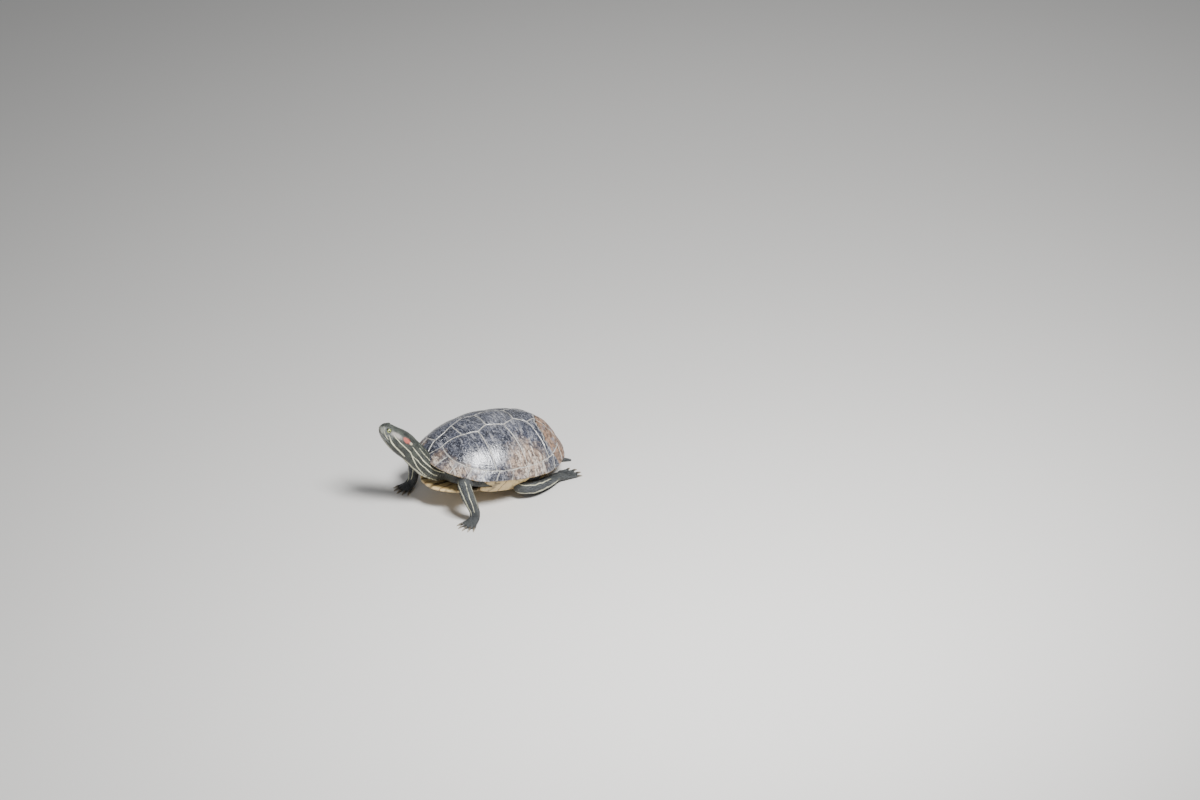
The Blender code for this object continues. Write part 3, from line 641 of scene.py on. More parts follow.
edge = paint.scaled_sum(paint.noise(5.0, 4.0), 3.0, paint.field("peel"))
edge_again = paint.scaled_sum(paint.noise(3.0, 4.0), 2.4, paint.field("peel_again"))
peeled = paint.mask(edge, 1.0, 1.8)
brown = paint.blend(paint.mask(blotch, 0.36, 0.64), (0.055, 0.030, 0.019), (0.30, 0.175, 0.105))
slate = paint.blend(grain, (0.05, 0.052, 0.07), (0.26, 0.27, 0.32))
brown = paint.blend(paint.mask(paint.noise(12.0, 4.0, 0.65, 0.5), 0.54, 0.64, 0.0, 0.9), brown, slate)
# behind the second crack the brown is painted darker, partly as painted shade of the rear
brown = paint.blend(paint.mask(edge_again, 1.0, 6.0, 0.0, 0.6), brown, (0.11, 0.062, 0.040))
brown = paint.blend(paint.mask(streaks, 0.54, 0.64, 0.0, 0.6), brown, (0.42, 0.33, 0.25))
horn = paint.over(horn, brown, peeled, 0.88)
print("with bloom, mud and peel:", len(paint.nodes), "nodes")

# %% [markdown]
# ### Edges, cracks and shine
# The edge of each old plate is pale and worn, with a painted shadow in the crack under it.
# The chalk of the seams comes over both. Relief follows the same masks, and dry mud is dull.

# %% Edges, cracks and shine
old_edge = paint.times(paint.mask(edge, -2.2, -0.2), paint.mask(edge, 1.0, 0.4))
horn = paint.over(horn, (0.34, 0.33, 0.31), old_edge, 0.75)
horn = paint.blend(seam_line, horn, paint.blend(grain, (0.22, 0.215, 0.20), (0.56, 0.54, 0.49)))
# painted shadow: a near black line along each crack, under the edge of the old plate
for past, where in ((edge, 1.0), (edge_again, paint.mask(paint.size_of(column), 26.0, 20.0))):
    gap_to = paint.size_of(paint.math("SUBTRACT", past, 1.9))
    painted_crack_shadow = paint.times(paint.mask(gap_to, 1.5, 0.8), where)
    horn = paint.blend(painted_crack_shadow, horn, (0.008, 0.006, 0.005))

below = paint.field("under")
belly_patch = paint.mask(paint.noise(8.0, 2.0), 0.50, 0.58)
belly_tone = paint.blend(belly_patch, (0.46, 0.30, 0.11), (0.05, 0.035, 0.02))
horn = paint.blend(below, horn, belly_tone)
paint.bump(paint.mask(to_seam, 0.1, 1.1), 0.30)
paint.bump(grain, 0.30)
paint.bump(streaks, 0.28)
paint.bump(blotch, 0.25)
paint.bump(ring_wave, 0.05)
paint.bump(peeled, -0.5)
worn_shine = paint.mask(grain, 0.40, 0.62, 0.18, 0.32)
shine = paint.blend(paint.math("MAXIMUM", mud_share, paint.times(peeled, 0.7)), worn_shine, 0.82)
paint.finish(carapace, horn, shine, **{"Specular IOR Level": 0.75})
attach(carapace, "root")
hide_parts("carapace")
print("carapace finish:", len(paint.nodes), "nodes")

# %% [markdown]
# ## One skin over all the flesh
# Neck, head, legs and tail are separate solids, but skin runs on from one to the next.
# Copies of them are swollen just enough to touch, fused on a fine voxel grid, and
# then relaxed, so that facets and joints disappear. The body inside the shell is
# hidden, so it keeps only a few large triangles.

# %% Fuse the flesh
SIDES = {"left": 1, "right": -1}  # the sign says which way the side lies
LIMB_PARTS = ("upper_arm", "forearm", "forefoot", "thigh", "shank", "hind_foot")
FLESH = ["trunk", "neck", "head", "lower_jaw", "tail"]
FLESH += [f"{side}_{part}" for side in SIDES for part in LIMB_PARTS]
SWELL = 0.00034  # a little over the gap between neighbouring solids
VOXEL = 0.00106


def merged_copy(names, swell):
    """One mesh object from clean, slightly swollen copies of solids."""
    whole = bmesh.new()
    for name in names:
        part = bmesh.new()
        part.from_mesh(nodes[name].data)
        bmesh.ops.remove_doubles(part, verts=part.verts, dist=1e-6)
        part.normal_update()
        for vertex in part.verts:
            vertex.co += vertex.normal * swell
        bmesh.ops.triangulate(part, faces=part.faces)
        held = bpy.data.meshes.new("held")
        part.to_mesh(held)
        part.free()
        whole.from_mesh(held)
        bpy.data.meshes.remove(held)
    mesh = bpy.data.meshes.new("merged")
    whole.to_mesh(mesh)
    whole.free()
    made = bpy.data.objects.new("merged", mesh)
    bpy.context.scene.collection.objects.link(made)
    return made


def apply_modifiers(thing):
    """Replaces an object's mesh by what its modifiers make of it."""
    depsgraph = bpy.context.evaluated_depsgraph_get()
    made = bpy.data.meshes.new_from_object(thing.evaluated_get(depsgraph))
    thing.modifiers.clear()
    old = thing.data
    thing.data = made
    bpy.data.meshes.remove(old)


def fused(names, swell, voxel):
    thing = merged_copy(names, swell)
    remesh = thing.modifiers.new("fuse", "REMESH")
    remesh.mode, remesh.voxel_size = "VOXEL", voxel
    apply_modifiers(thing)
    return thing


print("solids under the skin:", len(FLESH))

# %% [markdown]
# ### Moving many points at once
# A fused mesh has small steps. Each point moves towards the mean of its neighbours for a
# few rounds, which takes the steps out and keeps the form.

# %% Relax and set points
def edges_of(thing):
    flat = np.empty(len(thing.data.edges) * 2, np.int64)
    thing.data.edges.foreach_get("vertices", flat)
    return flat.reshape(-1, 2)


def relax(points, edges, rounds, hold=None):
    """Moves every point towards the mean of its neighbours, less where hold is high."""
    degree = np.bincount(edges.ravel(), minlength=len(points))[:, None].clip(1)
    for _ in range(rounds):
        total = np.zeros_like(points)
        for k in range(3):
            total[:, k] = np.bincount(edges[:, 0], points[edges[:, 1], k], len(points))
            total[:, k] += np.bincount(edges[:, 1], points[edges[:, 0], k], len(points))
        pull = (total / degree - points) / 2
        points = points + (pull if hold is None else pull * (1 - hold[:, None]))
    return points


def set_points(thing, points):
    thing.data.vertices.foreach_set("co", points.astype(np.float32).ravel())
    thing.data.update()


def over_ground(points):
    """The points, with none of them below the floor."""
    points[:, 2] = np.maximum(points[:, 2], 0)
    return points


skin = fused(FLESH + ["eye_left", "eye_right"], SWELL, VOXEL)
skin.name = "skin"
print("fused skin:", len(skin.data.vertices), "points")

# %% [markdown]
# ## Places along the limbs
# Stripes, scales and folds follow the limbs. Every point of the skin gets a distance
# along the nearest limb and an angle round it, taken from the limb's centre line. The
# angle is 0 along the crown of the head and neck, and along the front of a leg.

# %% Centre lines
def over_floor(stations):
    """Stations given as forward, left and up over the floor, in shell lengths."""
    rows = np.asarray(stations, float) * UNIT
    return np.stack([SHELL_CENTRE[0] + rows[:, 1], SHELL_CENTRE[1] - rows[:, 0], rows[:, 2]], 1)


HEAD_BACK = from_shell(0.6045, -0.020, 0.1285)
SNOUT = from_shell(0.8061, -0.0855, 0.2826)
HEAD_LENGTH = float(np.linalg.norm(SNOUT - HEAD_BACK))
head_forward = (SNOUT - HEAD_BACK) / HEAD_LENGTH
head_left = np.cross((0, 0, 1), head_forward)
head_left /= np.linalg.norm(head_left)
head_crown = np.cross(head_forward, head_left)
NECK = [
    (0.560, -0.011, 0.084), (0.506, -0.004, 0.028), (0.430, 0, -0.028),
    (0.330, 0, -0.032), (0.200, 0, -0.015),
]
neck_line = [SNOUT, (SNOUT + HEAD_BACK) / 2, HEAD_BACK] + [from_shell(*station) for station in NECK]
LEG_LINES = {
    "left_foreleg": [
        (0.220, 0.140, 0.220), (0.285, 0.235, 0.246), (0.346, 0.322, 0.256),
        (0.343, 0.362, 0.182), (0.320, 0.380, 0.096), (0.324, 0.390, 0.040), (0.400, 0.415, 0.012),
    ],
    "right_foreleg": [
        (0.220, -0.140, 0.220), (0.305, -0.215, 0.242), (0.378, -0.272, 0.250),
        (0.402, -0.290, 0.176), (0.412, -0.292, 0.096), (0.432, -0.290, 0.040), (0.520, -0.275, 0.012),
    ],
    "left_hindleg": [
        (-0.270, 0.120, 0.112), (-0.165, 0.220, 0.104), (-0.080, 0.298, 0.090),
        (-0.160, 0.328, 0.074), (-0.270, 0.306, 0.056), (-0.370, 0.256, 0.037), (-0.520, 0.215, 0.015),
    ],
    "right_hindleg": [
        (-0.270, -0.120, 0.112), (-0.180, -0.222, 0.104), (-0.100, -0.308, 0.090),
        (-0.172, -0.346, 0.074), (-0.270, -0.334, 0.056), (-0.355, -0.304, 0.037),
        (-0.510, -0.290, 0.015),
    ],
    "tail": [
        (-0.300, 0, 0.115), (-0.400, 0.003, 0.088), (-0.475, 0.015, 0.048),
        (-0.540, 0.035, 0.018), (-0.595, 0.066, 0.0075),
    ],
}
print("length of the head in mm:", round(HEAD_LENGTH * 1000, 1))

# %% [markdown]
# ### Along, round and off a line
# Each point takes its place from the stretch of line closest to it. Close stretches are
# blended by distance, so the numbers stay smooth where a limb bends.

# %% Places along the lines
LINE_SAMPLES = 56


def smooth_line(stations):
    """A curve through the stations, evenly sampled, with its unit directions."""
    rows = np.asarray(stations, float)
    marks = np.concatenate([[0], np.cumsum(np.linalg.norm(np.diff(rows, axis=0), axis=1))])
    fine = np.linspace(0, marks[-1], LINE_SAMPLES)
    line = np.stack([np.interp(fine, marks, rows[:, k]) for k in range(3)], 1)
    for _ in range(12):
        line[1:-1] = (line[:-2] + line[2:] + 2 * line[1:-1]) / 4
    heading = np.gradient(line, axis=0)
    return line, heading / np.linalg.norm(heading, axis=1, keepdims=True), fine * 1000


SKY, AHEAD = np.array([0, 0, 1.0]), np.array([0, -1.0, 0])


def along_line(points, stations, front):
    """Millimetres along a line, degrees round it from its front, and millimetres off it."""
    line, heading, marks = smooth_line(stations)
    facing = front - (heading @ front)[:, None] * heading
    facing /= np.linalg.norm(facing, axis=1, keepdims=True)
    beside = np.cross(heading, facing)
    square = (points**2).sum(1)[:, None] + (line**2).sum(1) - 2 * points @ line.T
    square = np.clip(square, 0, None) * 1e6
    weight = np.exp(-(square - square.min(1, keepdims=True)) / 8.0)
    weight /= weight.sum(1, keepdims=True)
    away = points - weight @ line
    turn = np.degrees(np.arctan2((away * (weight @ beside)).sum(1), (away * (weight @ facing)).sum(1)))
    return weight @ marks, turn, np.sqrt(square.min(1))


def all_lines(points):
    """Places of the points along the head and neck, each leg and the tail."""
    places = {"head": along_line(points, neck_line, SKY)}
    for name, stations in LEG_LINES.items():
        front = AHEAD if "fore" in name else SKY
        marks, turn, off = along_line(points, over_floor(stations), front)
        if name in ("left_foreleg", "right_hindleg"):
            turn = -turn  # angles grow towards the outer side on every leg
        places[name] = (marks, turn, off)
    return places


def limb_shares(places):
    """How much each point belongs to each limb, from 0 to 1, and what is left is trunk."""
    off = np.stack([place[2] for place in places.values()])
    reach = np.clip((24 - off) / 6, 0, 1)
    share = reach * np.exp(-(off - off.min(0)) / 2.0)
    return dict(zip(places, share / np.maximum(share.sum(0), 1)))


skin_points = vertices_of(skin)
places = all_lines(skin_points)
print("head and neck run", round(float(places["head"][0].max())), "mm along the line")

# %% [markdown]
# ## Finer skin where it is looked at
# A face needs smaller points than a thigh. The faces of the head are split once, and
# those round the eyes once more, while the hidden body is thinned to large triangles.

# %% Refine the head, thin the trunk
THINNED = 0.95  # share of the hidden body's faces that thinning may take away
EYE_AT = (0.780, 0.0305, 0.027)  # share of the head's length, aside and above its line
EYE_RADIUS = 4.75  # millimetres, as are the distances from the middle of an eye that follow
FINE_REACH, LID_REACH, NO_RELIEF_REACH = 7.5, 8.5, 5.6
head_frame = np.stack([head_forward, head_left, head_crown], 1)


def head_local(points):
    """Millimetres back from the snout, to the left, and above the head's line."""
    local = (points - SNOUT) @ head_frame * 1000
    return -local[:, 0], local[:, 1], local[:, 2]


eye_centres = {}
for side, sign in SIDES.items():
    share, aside, above = EYE_AT
    eye_centres[side] = (
        HEAD_BACK + head_forward * share * HEAD_LENGTH
        + (head_left * sign * aside + head_crown * above) * UNIT
    )
HOLD_FROM = {"foreleg": 82, "hindleg": 88, "tail": 30}  # millimetres along, where the toes begin
hold = np.zeros(len(skin_points))
for name in LEG_LINES:
    marks, turn, off = places[name]
    start = HOLD_FROM[name.split("_")[-1]]
    hold = np.maximum(hold, (off < 16) * np.clip((marks - start) / 8, 0, 0.86))
skin_points = relax(skin_points, edges_of(skin), 24, hold)
set_points(skin, skin_points)
print("points held still at the toes:", int((hold > 0).sum()))

# %% [markdown]
# ### Splitting and thinning
# Splitting halves the edges of chosen faces. Thinning is a modifier that acts only where
# the body lies hidden inside the shell.

# %% Split and thin
def split_faces(thing, wanted):
    """Splits the faces whose middle passes the test into four."""
    work = bmesh.new()
    work.from_mesh(thing.data)
    middles = np.array([face.calc_center_median() for face in work.faces])
    chosen = wanted(middles)
    edges = {edge for face, pick in zip(work.faces, chosen) if pick for edge in face.edges}
    bmesh.ops.subdivide_edges(work, edges=list(edges), cuts=1, use_grid_fill=True)
    bmesh.ops.triangulate(work, faces=[face for face in work.faces if len(face.verts) > 4])
    work.to_mesh(thing.data)
    work.free()


def near_eyes(points, reach):
    gaps = [np.linalg.norm(points - centre, axis=1) for centre in eye_centres.values()]
    return np.minimum(*gaps) * 1000 < reach


def on_head(points):
    back, aside, above = head_local(points)
    return (back < 60) & (np.hypot(aside, above) < 24)


split_faces(skin, on_head)
split_faces(skin, lambda points: near_eyes(points, FINE_REACH))

skin_points = vertices_of(skin)
shell_forward, shell_left, shell_up = to_shell(skin_points)
inside = np.hypot((shell_forward - CROWN_FORWARD) / 0.50, shell_left / HALF_WIDTH)
over_belly = np.hypot((shell_forward + 0.01) / 0.42, shell_left / 0.235) < 1
under_dome = (shell_up > 0.03) & (inside < 0.86)
hidden = (over_belly & (inside < 0.84)) | under_dome | (inside < 0.76)
group = skin.vertex_groups.new(name="hidden")
group.add(np.nonzero(hidden)[0].tolist(), 1.0, "REPLACE")
thin = skin.modifiers.new("thin", "DECIMATE")
thin.ratio = float(1 - hidden.mean() * THINNED)
thin.vertex_group, thin.vertex_group_factor = "hidden", 1.0
apply_modifiers(skin)
skin.vertex_groups.clear()
print("skin points:", len(hidden), "of them hidden:", int(hidden.sum()))
print("after thinning:", len(skin.data.vertices))

# %% [markdown]
# ## Eyelids, mouth, nostrils and ear
# A slider's eye sits in an almond opening. Its lids lie close on the ball with a thin
# raised rim, so the skin is pushed out to just over the ball outside the opening, and
# tucked in behind the ball inside it. The beak has no lips, only a fine line, and
# the ear is a flat round patch behind the corner of the jaws.

# %% Carve the head
def normals_of(thing):
    flat = np.empty(len(thing.data.vertices) * 3)
    thing.data.vertices.foreach_get("normal", flat)
    return flat.reshape(-1, 3)


def rise(value, start, end):
    """Smooth step from 0 at start to 1 at end."""
    share = np.clip((value - start) / (end - start), 0, 1)
    return share * share * (3 - 2 * share)


LOOK = {}
for side, sign in SIDES.items():
    look = head_left * sign * 0.90 + head_forward * 0.26 + head_crown * 0.34
    LOOK[side] = look / np.linalg.norm(look)


def eye_plane(points, side):
    """Millimetres towards the snout and upwards across the eye, and out along its gaze."""
    away = (points - eye_centres[side]) * 1000
    look = LOOK[side]
    ahead = head_forward - (head_forward @ look) * look
    ahead /= np.linalg.norm(ahead)
    above = np.cross(ahead, look) if side == "right" else np.cross(look, ahead)
    return away @ ahead, away @ above, away @ look


def opening_gap(ahead, above):
    """Millimetres outside the almond opening of the lids; negative inside."""
    half_long, half_high = 3.75, 2.75
    lifted = above - 0.10 * ahead
    stretch = np.hypot(ahead / half_long, lifted / (half_high * (1 - 0.12 * (ahead / half_long) ** 2)))
    return (stretch - 1) * half_high


def shape_lids(points):
    for side in SIDES:
        ahead, above, out = eye_plane(points, side)
        reach = np.sqrt(ahead**2 + above**2 + out**2)
        gap_out = opening_gap(ahead, above)
        facing = rise(out, 0.2, 1.6)
        rim = 0.34 * bell(gap_out - 0.55, 0.42) - 0.12 * bell(gap_out - 1.7, 0.5)
        lid = EYE_RADIUS + 0.30 + rim
        lower_bag = 0.22 * bell(above + 4.2, 1.0) * rise(ahead + 4, 0, 3)
        wanted = np.maximum(reach, lid + lower_bag)
        blend_out = rise(gap_out, 3.4, 1.0)
        outside = reach + (wanted - reach) * blend_out
        inside = EYE_RADIUS - 0.75
        target = inside + (outside - inside) * rise(gap_out, -0.12, 0.16)
        target = reach + (target - reach) * facing * (reach < 9.5)
        centre = eye_centres[side] * 1000
        stretch = (target / np.maximum(reach, 1e-6))[:, None]
        points = (centre + (points * 1000 - centre) * stretch) / 1000
    return points


print("gaze of the left eye:", np.round(LOOK["left"], 2))

# %% [markdown]
# ### Mouth, nostrils and ear
# The relief of the head is a sum of small smooth bumps and grooves, each written in
# millimetres from the snout.

# %% Relief of the head
MOUTH_BACK = 22.0  # millimetres from the snout to the corner of the jaws


def mouth_line(back):
    return -3.6 + 0.55 * np.cos(math.pi * back / MOUTH_BACK)


def head_relief(points):
    """Millimetres to raise each point of the head along its normal."""
    back, aside, above = head_local(points)
    mouth = above - mouth_line(back)
    on_jaw = rise(MOUTH_BACK + 1.5 - back, 0, 3) * (np.abs(aside) < 14)
    lift = -0.75 * bell(mouth, 0.42) * on_jaw
    lift += 0.30 * bell(mouth - 1.0, 0.7) * on_jaw
    cusp = np.exp(-((np.abs(aside) - 1.5) ** 2) / 0.8) * bell(back, 2.5)
    lift += 0.25 * cusp * bell(mouth - 0.6, 0.8)
    for sign in (-1, 1):
        nostril = (aside - sign * 1.35) ** 2 + (above - 3.3) ** 2
        pit = -1.1 * np.exp(-nostril / 0.20) + 0.16 * bell(np.sqrt(nostril) - 0.85, 0.3)
        lift += pit * (back < 5)
    ear = np.hypot(back - 31.5, above + 1.6)
    side_face = np.abs(aside) > 8
    lift += (-0.22 * bell(ear - 4.3, 0.55) + 0.10 * rise(ear, 4.0, 2.0)) * side_face
    lift += 0.9 * bell(back - 25, 6.5) * bell(above + 6, 5) * side_face
    bridge = bell(back - 8, 6) * bell(aside, 2.6) * (above > 0)
    return lift - 0.35 * bridge


skin_points = vertices_of(skin)
off_head = 1.0 - on_head(skin_points)
skin_points = shape_lids(relax(skin_points, edges_of(skin), 3, off_head))
set_points(skin, skin_points)
places = all_lines(skin_points)
share_of = limb_shares(places)
near_ball = near_eyes(skin_points, LID_REACH)
bare = ~near_eyes(skin_points, NO_RELIEF_REACH)
lift = head_relief(skin_points) * on_head(skin_points) * bare
print("deepest groove of the head in mm:", round(float(lift.min()), 2))

# %% [markdown]
# ## Folds and plates of the loose skin
# The stretched neck wrinkles across at its root, where the skin gathers in a collar, and
# the limbs carry rows of flat scales that are largest along the front of the forearm
# and the back edge of the shank.

# %% Wrinkle the skin
marks, turn, off = places["head"]
collar = share_of["head"] * rise(marks, 72, 100)
ripple = np.sin(marks * 1.55 + 2.2 * smooth_noise(skin_points, 0.012, 5) + turn * 0.02)
lift += 0.48 * collar * ripple
throat = share_of["head"] * rise(np.abs(turn), 105, 150) * rise(marks, 22, 45)
lift += 0.20 * throat * np.sin(turn * 0.30 + smooth_noise(skin_points, 0.02, 6))
pocket = 1 - sum(share_of.values())
lift += 0.35 * np.clip(pocket, 0, 1) * smooth_noise(skin_points, 0.008, 7)


def plate_rows(marks, turn, radius, size):
    """Scales in staggered rows: near 1 on a plate, low between plates."""
    row = marks / size
    column = np.radians(turn) * radius / size + 0.5 * (np.floor(row) % 2)
    across = np.abs(np.sin(math.pi * row)) ** 0.5
    return across * np.abs(np.sin(math.pi * column)) ** 0.4


for name in LEG_LINES:
    marks, turn, off = places[name]
    plates = plate_rows(marks, turn, 8.0, 3.1 if name != "tail" else 2.4)
    lift += share_of[name] * 0.14 * (plates - 0.6) * rise(marks, 22, 36)
lift += 0.10 * smooth_noise(skin_points, 0.006, 8)
SKIN_DEPTH = 0.30  # millimetres that the finished skin lies inside the swollen copies
lift = np.where(near_ball & (lift > -0.5), lift * 0.3, lift - SKIN_DEPTH)
skin_points = over_ground(skin_points + normals_of(skin) * lift[:, None] / 1000)
set_points(skin, skin_points)
skin.data.shade_smooth()
print("skin relief from", round(float(lift.min()), 2), "to", round(float(lift.max()), 2), "mm")

# %% [markdown]
# ## The stripes
# The pale stripes run along the head, neck and limbs like rails. Each is written as a
# course: millimetres along, degrees round, and half width. The distance to the closest
# stripe, in half widths, becomes one smooth number per point, so its edge stays
# crisp at any size. The red patch behind each eye is an ellipse in the same coordinates.

# %% Lay out the markings
NO_STRIPE = 30.0  # half widths: too far off for any stripe to show
OWN_SHARE = 0.4  # a point with more than this share belongs to the limb
HEAD_STRIPES = (
    ((5, 152, 0.35), (12, 143, 0.50), (19, 137, 0.55), (27, 139, 0.55), (36, 146, 0.4)),
    ((3, 40, 0.3), (6, 74, 0.4), (10, 92, 0.45), (15, 102, 0.5), (20, 108, 0.35)),
    ((15, 80, 0.35), (19, 92, 0.7), (23, 100, 1.0), (28, 104, 1.1),
     (38, 108, 1.2), (47, 115, 1.45), (51, 118, 1.0)),
    ((20, 60, 0.35), (24, 66, 0.5), (33, 75, 0.6), (43, 77, 0.6),
     (53, 83, 0.75), (63, 104, 0.8), (75, 121, 0.8), (95, 130, 0.6)),
    ((50, 152, 0.5), (60, 150, 1.2), (75, 146, 1.7), (90, 141, 1.9), (112, 140, 1.7), (125, 140, 0.9)),
    ((51, 58, 0.4), (61, 66, 0.6), (74, 77, 0.7), (96, 86, 0.7), (115, 92, 0.5)),
    ((57, 92, 0.4), (70, 96, 0.65), (84, 101, 0.7), (104, 108, 0.6)),
    ((60, 42, 0.4), (76, 54, 0.5), (100, 66, 0.45)),
    ((58, 22, 0.25), (84, 28, 0.3), (104, 30, 0.25)),
    ((6, 180, 0.5), (16, 179, 0.6), (28, 168, 0.7), (44, 160, 0.8), (60, 166, 0.7)),
)
LEG_STRIPES = {
    "foreleg": (((30, 22, 0.5), (48, 20, 0.9), (70, 24, 1.1), (86, 18, 0.9), (94, 10, 0.4)),
                ((44, 82, 0.4), (60, 76, 0.6), (84, 70, 0.5)),
                ((40, -48, 0.4), (60, -52, 0.7), (86, -40, 0.5)),
                ((46, 128, 0.4), (62, 132, 0.6), (80, 124, 0.4))),
    "hindleg": (((38, 112, 0.5), (56, 118, 1.1), (84, 112, 1.3), (108, 96, 0.9), (118, 84, 0.4)),
                ((44, 42, 0.4), (66, 50, 0.6), (100, 40, 0.5)),
                ((40, -62, 0.4), (66, -70, 0.7), (98, -60, 0.5))),
    "tail": (((4, 40, 0.4), (30, 36, 0.5), (56, 30, 0.3)),
             ((4, 110, 0.5), (34, 112, 0.5), (58, 110, 0.3))),
}


def stripe_gap(marks, turn, radius, stripes, paired):
    """Distance to the closest stripe in half widths: under 1 is on a stripe."""
    best = np.full(len(marks), NO_STRIPE)
    angle = np.abs(turn) if paired else turn
    for course in stripes:
        at, degrees, half = np.array(course, float).T
        middle, width = np.interp(marks, at, degrees), np.interp(marks, at, half)
        off_middle = np.radians(np.abs((angle - middle + 180) % 360 - 180)) * radius
        past_end = np.maximum(np.maximum(at[0] - marks, marks - at[-1]), 0)
        best = np.minimum(best, np.hypot(off_middle, past_end * 0.6) / width)
    return best


def all_stripes(points, places, share_of):
    """Distance to the closest stripe anywhere on the animal, in half widths."""
    wander = 1.6 * smooth_noise(points, 0.016, 11)
    marks, turn, off = places["head"]
    best = stripe_gap(marks, turn + wander, np.clip(off, 4, 18), HEAD_STRIPES, True)
    best = np.where(share_of["head"] > OWN_SHARE, best, NO_STRIPE)
    for name in LEG_LINES:
        marks, turn, off = places[name]
        stripes = LEG_STRIPES[name.split("_")[-1]]
        here = stripe_gap(marks, turn + 3 * wander, np.clip(off, 3, 12), stripes, name == "tail")
        best = np.where(share_of[name] > OWN_SHARE, np.minimum(best, here), best)
    return np.clip(best, 0, NO_STRIPE)


print("stripes on each side of the head and neck:", len(HEAD_STRIPES))

# %% [markdown]
# ### Patches of the head
# The red patch, the painted glare on the cheek before it and its cream end are ellipses.
# All of them are kept as distances, so the finish can give each its own ragged edge.

# %% Keep the markings
FAR_OFF = 9  # a distance at which a patch no longer shows
stripe_at = all_stripes(skin_points, places, share_of)
marks, turn, off = places["head"]
red = np.hypot((marks - 38.5) / 6.6, (np.abs(turn) - 48 - 0.12 * (marks - 38)) * 0.30 / 3.5)
# a pale patch of painted glare on the temple, in front of the red patch
pale = np.hypot((marks - 23.0) / 8.8, (np.abs(turn) - 54) * 0.26 / 4.2)
cream_end = np.hypot((marks - 46.0) / 3.0, (np.abs(turn) - 49) * 0.30 / 2.0)
back, aside, above = head_local(skin_points)
beak = rise(9.5 - back, 0, 3) * rise(4.4 - np.abs(above + 0.6), 0, 2.0) * on_head(skin_points)
is_head = share_of["head"] > OWN_SHARE
for name, patch in (("red", red), ("pale", pale), ("cream_end", cream_end)):
    store(skin, name, np.where(is_head, np.clip(patch, 0, FAR_OFF), FAR_OFF))
store(skin, "stripe", stripe_at)
store(skin, "beak", beak)
on_jaws = on_head(skin_points) & (back < MOUTH_BACK)
store(skin, "mouth", np.where(on_jaws, above - mouth_line(back), FAR_OFF))
# where the snout and cheeks get a painted glare
store(skin, "face", share_of["head"] * rise(25 - marks, 0, 12) * rise(np.abs(turn), 28, 60))
store(skin, "belly", np.clip(share_of["head"] * rise(np.abs(turn), 118, 160), 0, 1))
store(skin, "limb", sum(share_of[name] for name in LEG_LINES))
print("points on stripes:", int((stripe_at < 1).sum()), "on the red patches:", int((red < 1).sum()))

# %% [markdown]
# ## Finish of the skin
# Slider skin is nearly black, with an olive cast on the neck and fine pebbling that
# turns to larger plates on the legs. Each pale stripe has a darker border. The beak is
# bare horn, smoother and greyer than the skin. The face, and a patch of the cheek before the
# red, are painted paler as glare, and the edges of the leg plates carry painted glints.

# %% Paint the skin
CREAMS = ((0.48, 0.48, 0.31), (0.80, 0.78, 0.60))  # darkest and palest part of a stripe
PEBBLE_SIZE, PLATE_SIZE = 1.25, 1.9  # millimetres
paint = Paint("slider_skin")
stripe, red, pale = paint.field("stripe"), paint.field("red"), paint.field("pale")
limb, beak_share, belly = paint.field("limb"), paint.field("beak"), paint.field("belly")
cloud = paint.noise(9.0, 4.0, 0.6)
pebble = paint.cells(PEBBLE_SIZE, "F1")
pebble_edge = paint.cells(PEBBLE_SIZE, "DISTANCE_TO_EDGE")
plate_edge = paint.cells(PLATE_SIZE, "DISTANCE_TO_EDGE")
base = paint.blend(paint.mask(cloud, 0.38, 0.64), (0.016, 0.019, 0.017), (0.048, 0.055, 0.045))
limb_tone = paint.blend(cloud, (0.014, 0.016, 0.019), (0.046, 0.050, 0.056))
base = paint.over(base, limb_tone, limb, 0.75)
base = paint.over(base, (0.14, 0.14, 0.100), belly, 0.5)
base = paint.blend(paint.mask(pebble, 0.55, 0.15, 0.0, 0.30), base, (0.12, 0.13, 0.11))
# painted highlight: the edges of the leg plates are painted paler, as glints
worn = paint.times(paint.mask(plate_edge, 0.10, 0.32), limb)
worn = paint.times(worn, paint.mask(cloud, 0.42, 0.62, 0.1, 0.45))
base = paint.blend(worn, base, (0.12, 0.13, 0.135))
fuzz = paint.math("SUBTRACT", paint.noise(1.3, 3.0, 0.6), 0.5)
# painted highlight: the face is painted paler, as glare on its glossy skin
face_glare = paint.mask(paint.noise(2.6, 4.0, 0.7), 0.42, 0.60, 0.15, 0.75)
base = paint.blend(paint.times(paint.field("face"), face_glare), base, (0.235, 0.245, 0.235))
# painted highlight: a pale, pinkish grey patch of glare before the red patch
cheek_glare_share = paint.mask(paint.scaled_sum(fuzz, 1.3, pale), 1.20, 0.45)
cheek_glare_tone = paint.blend(paint.noise(5.0, 2.0), (0.24, 0.25, 0.21), (0.52, 0.45, 0.42))
base = paint.over(base, cheek_glare_tone, cheek_glare_share, 0.72)
ragged = paint.scaled_sum(fuzz, 0.55, stripe)
border = paint.mask(ragged, 2.3, 1.1)
base = paint.over(base, (0.014, 0.015, 0.013), border, 0.65)
cream = paint.blend(paint.noise(4.0, 2.0), *CREAMS)
on_stripe = paint.mask(ragged, 1.15, 0.75)
base = paint.over(base, cream, on_stripe, 0.92)
end_edge = paint.scaled_sum(fuzz, 1.0, paint.field("cream_end"))
base = paint.blend(paint.mask(end_edge, 1.15, 0.55, 0.0, 0.85), base, (0.50, 0.44, 0.30))
red_edge = paint.scaled_sum(fuzz, 1.5, red)
red_tone = paint.blend(paint.noise(2.4, 3.0), (0.28, 0.040, 0.028), (0.52, 0.135, 0.095))
base = paint.blend(paint.mask(red_edge, 1.15, 0.60, 0.0, 0.94), base, red_tone)
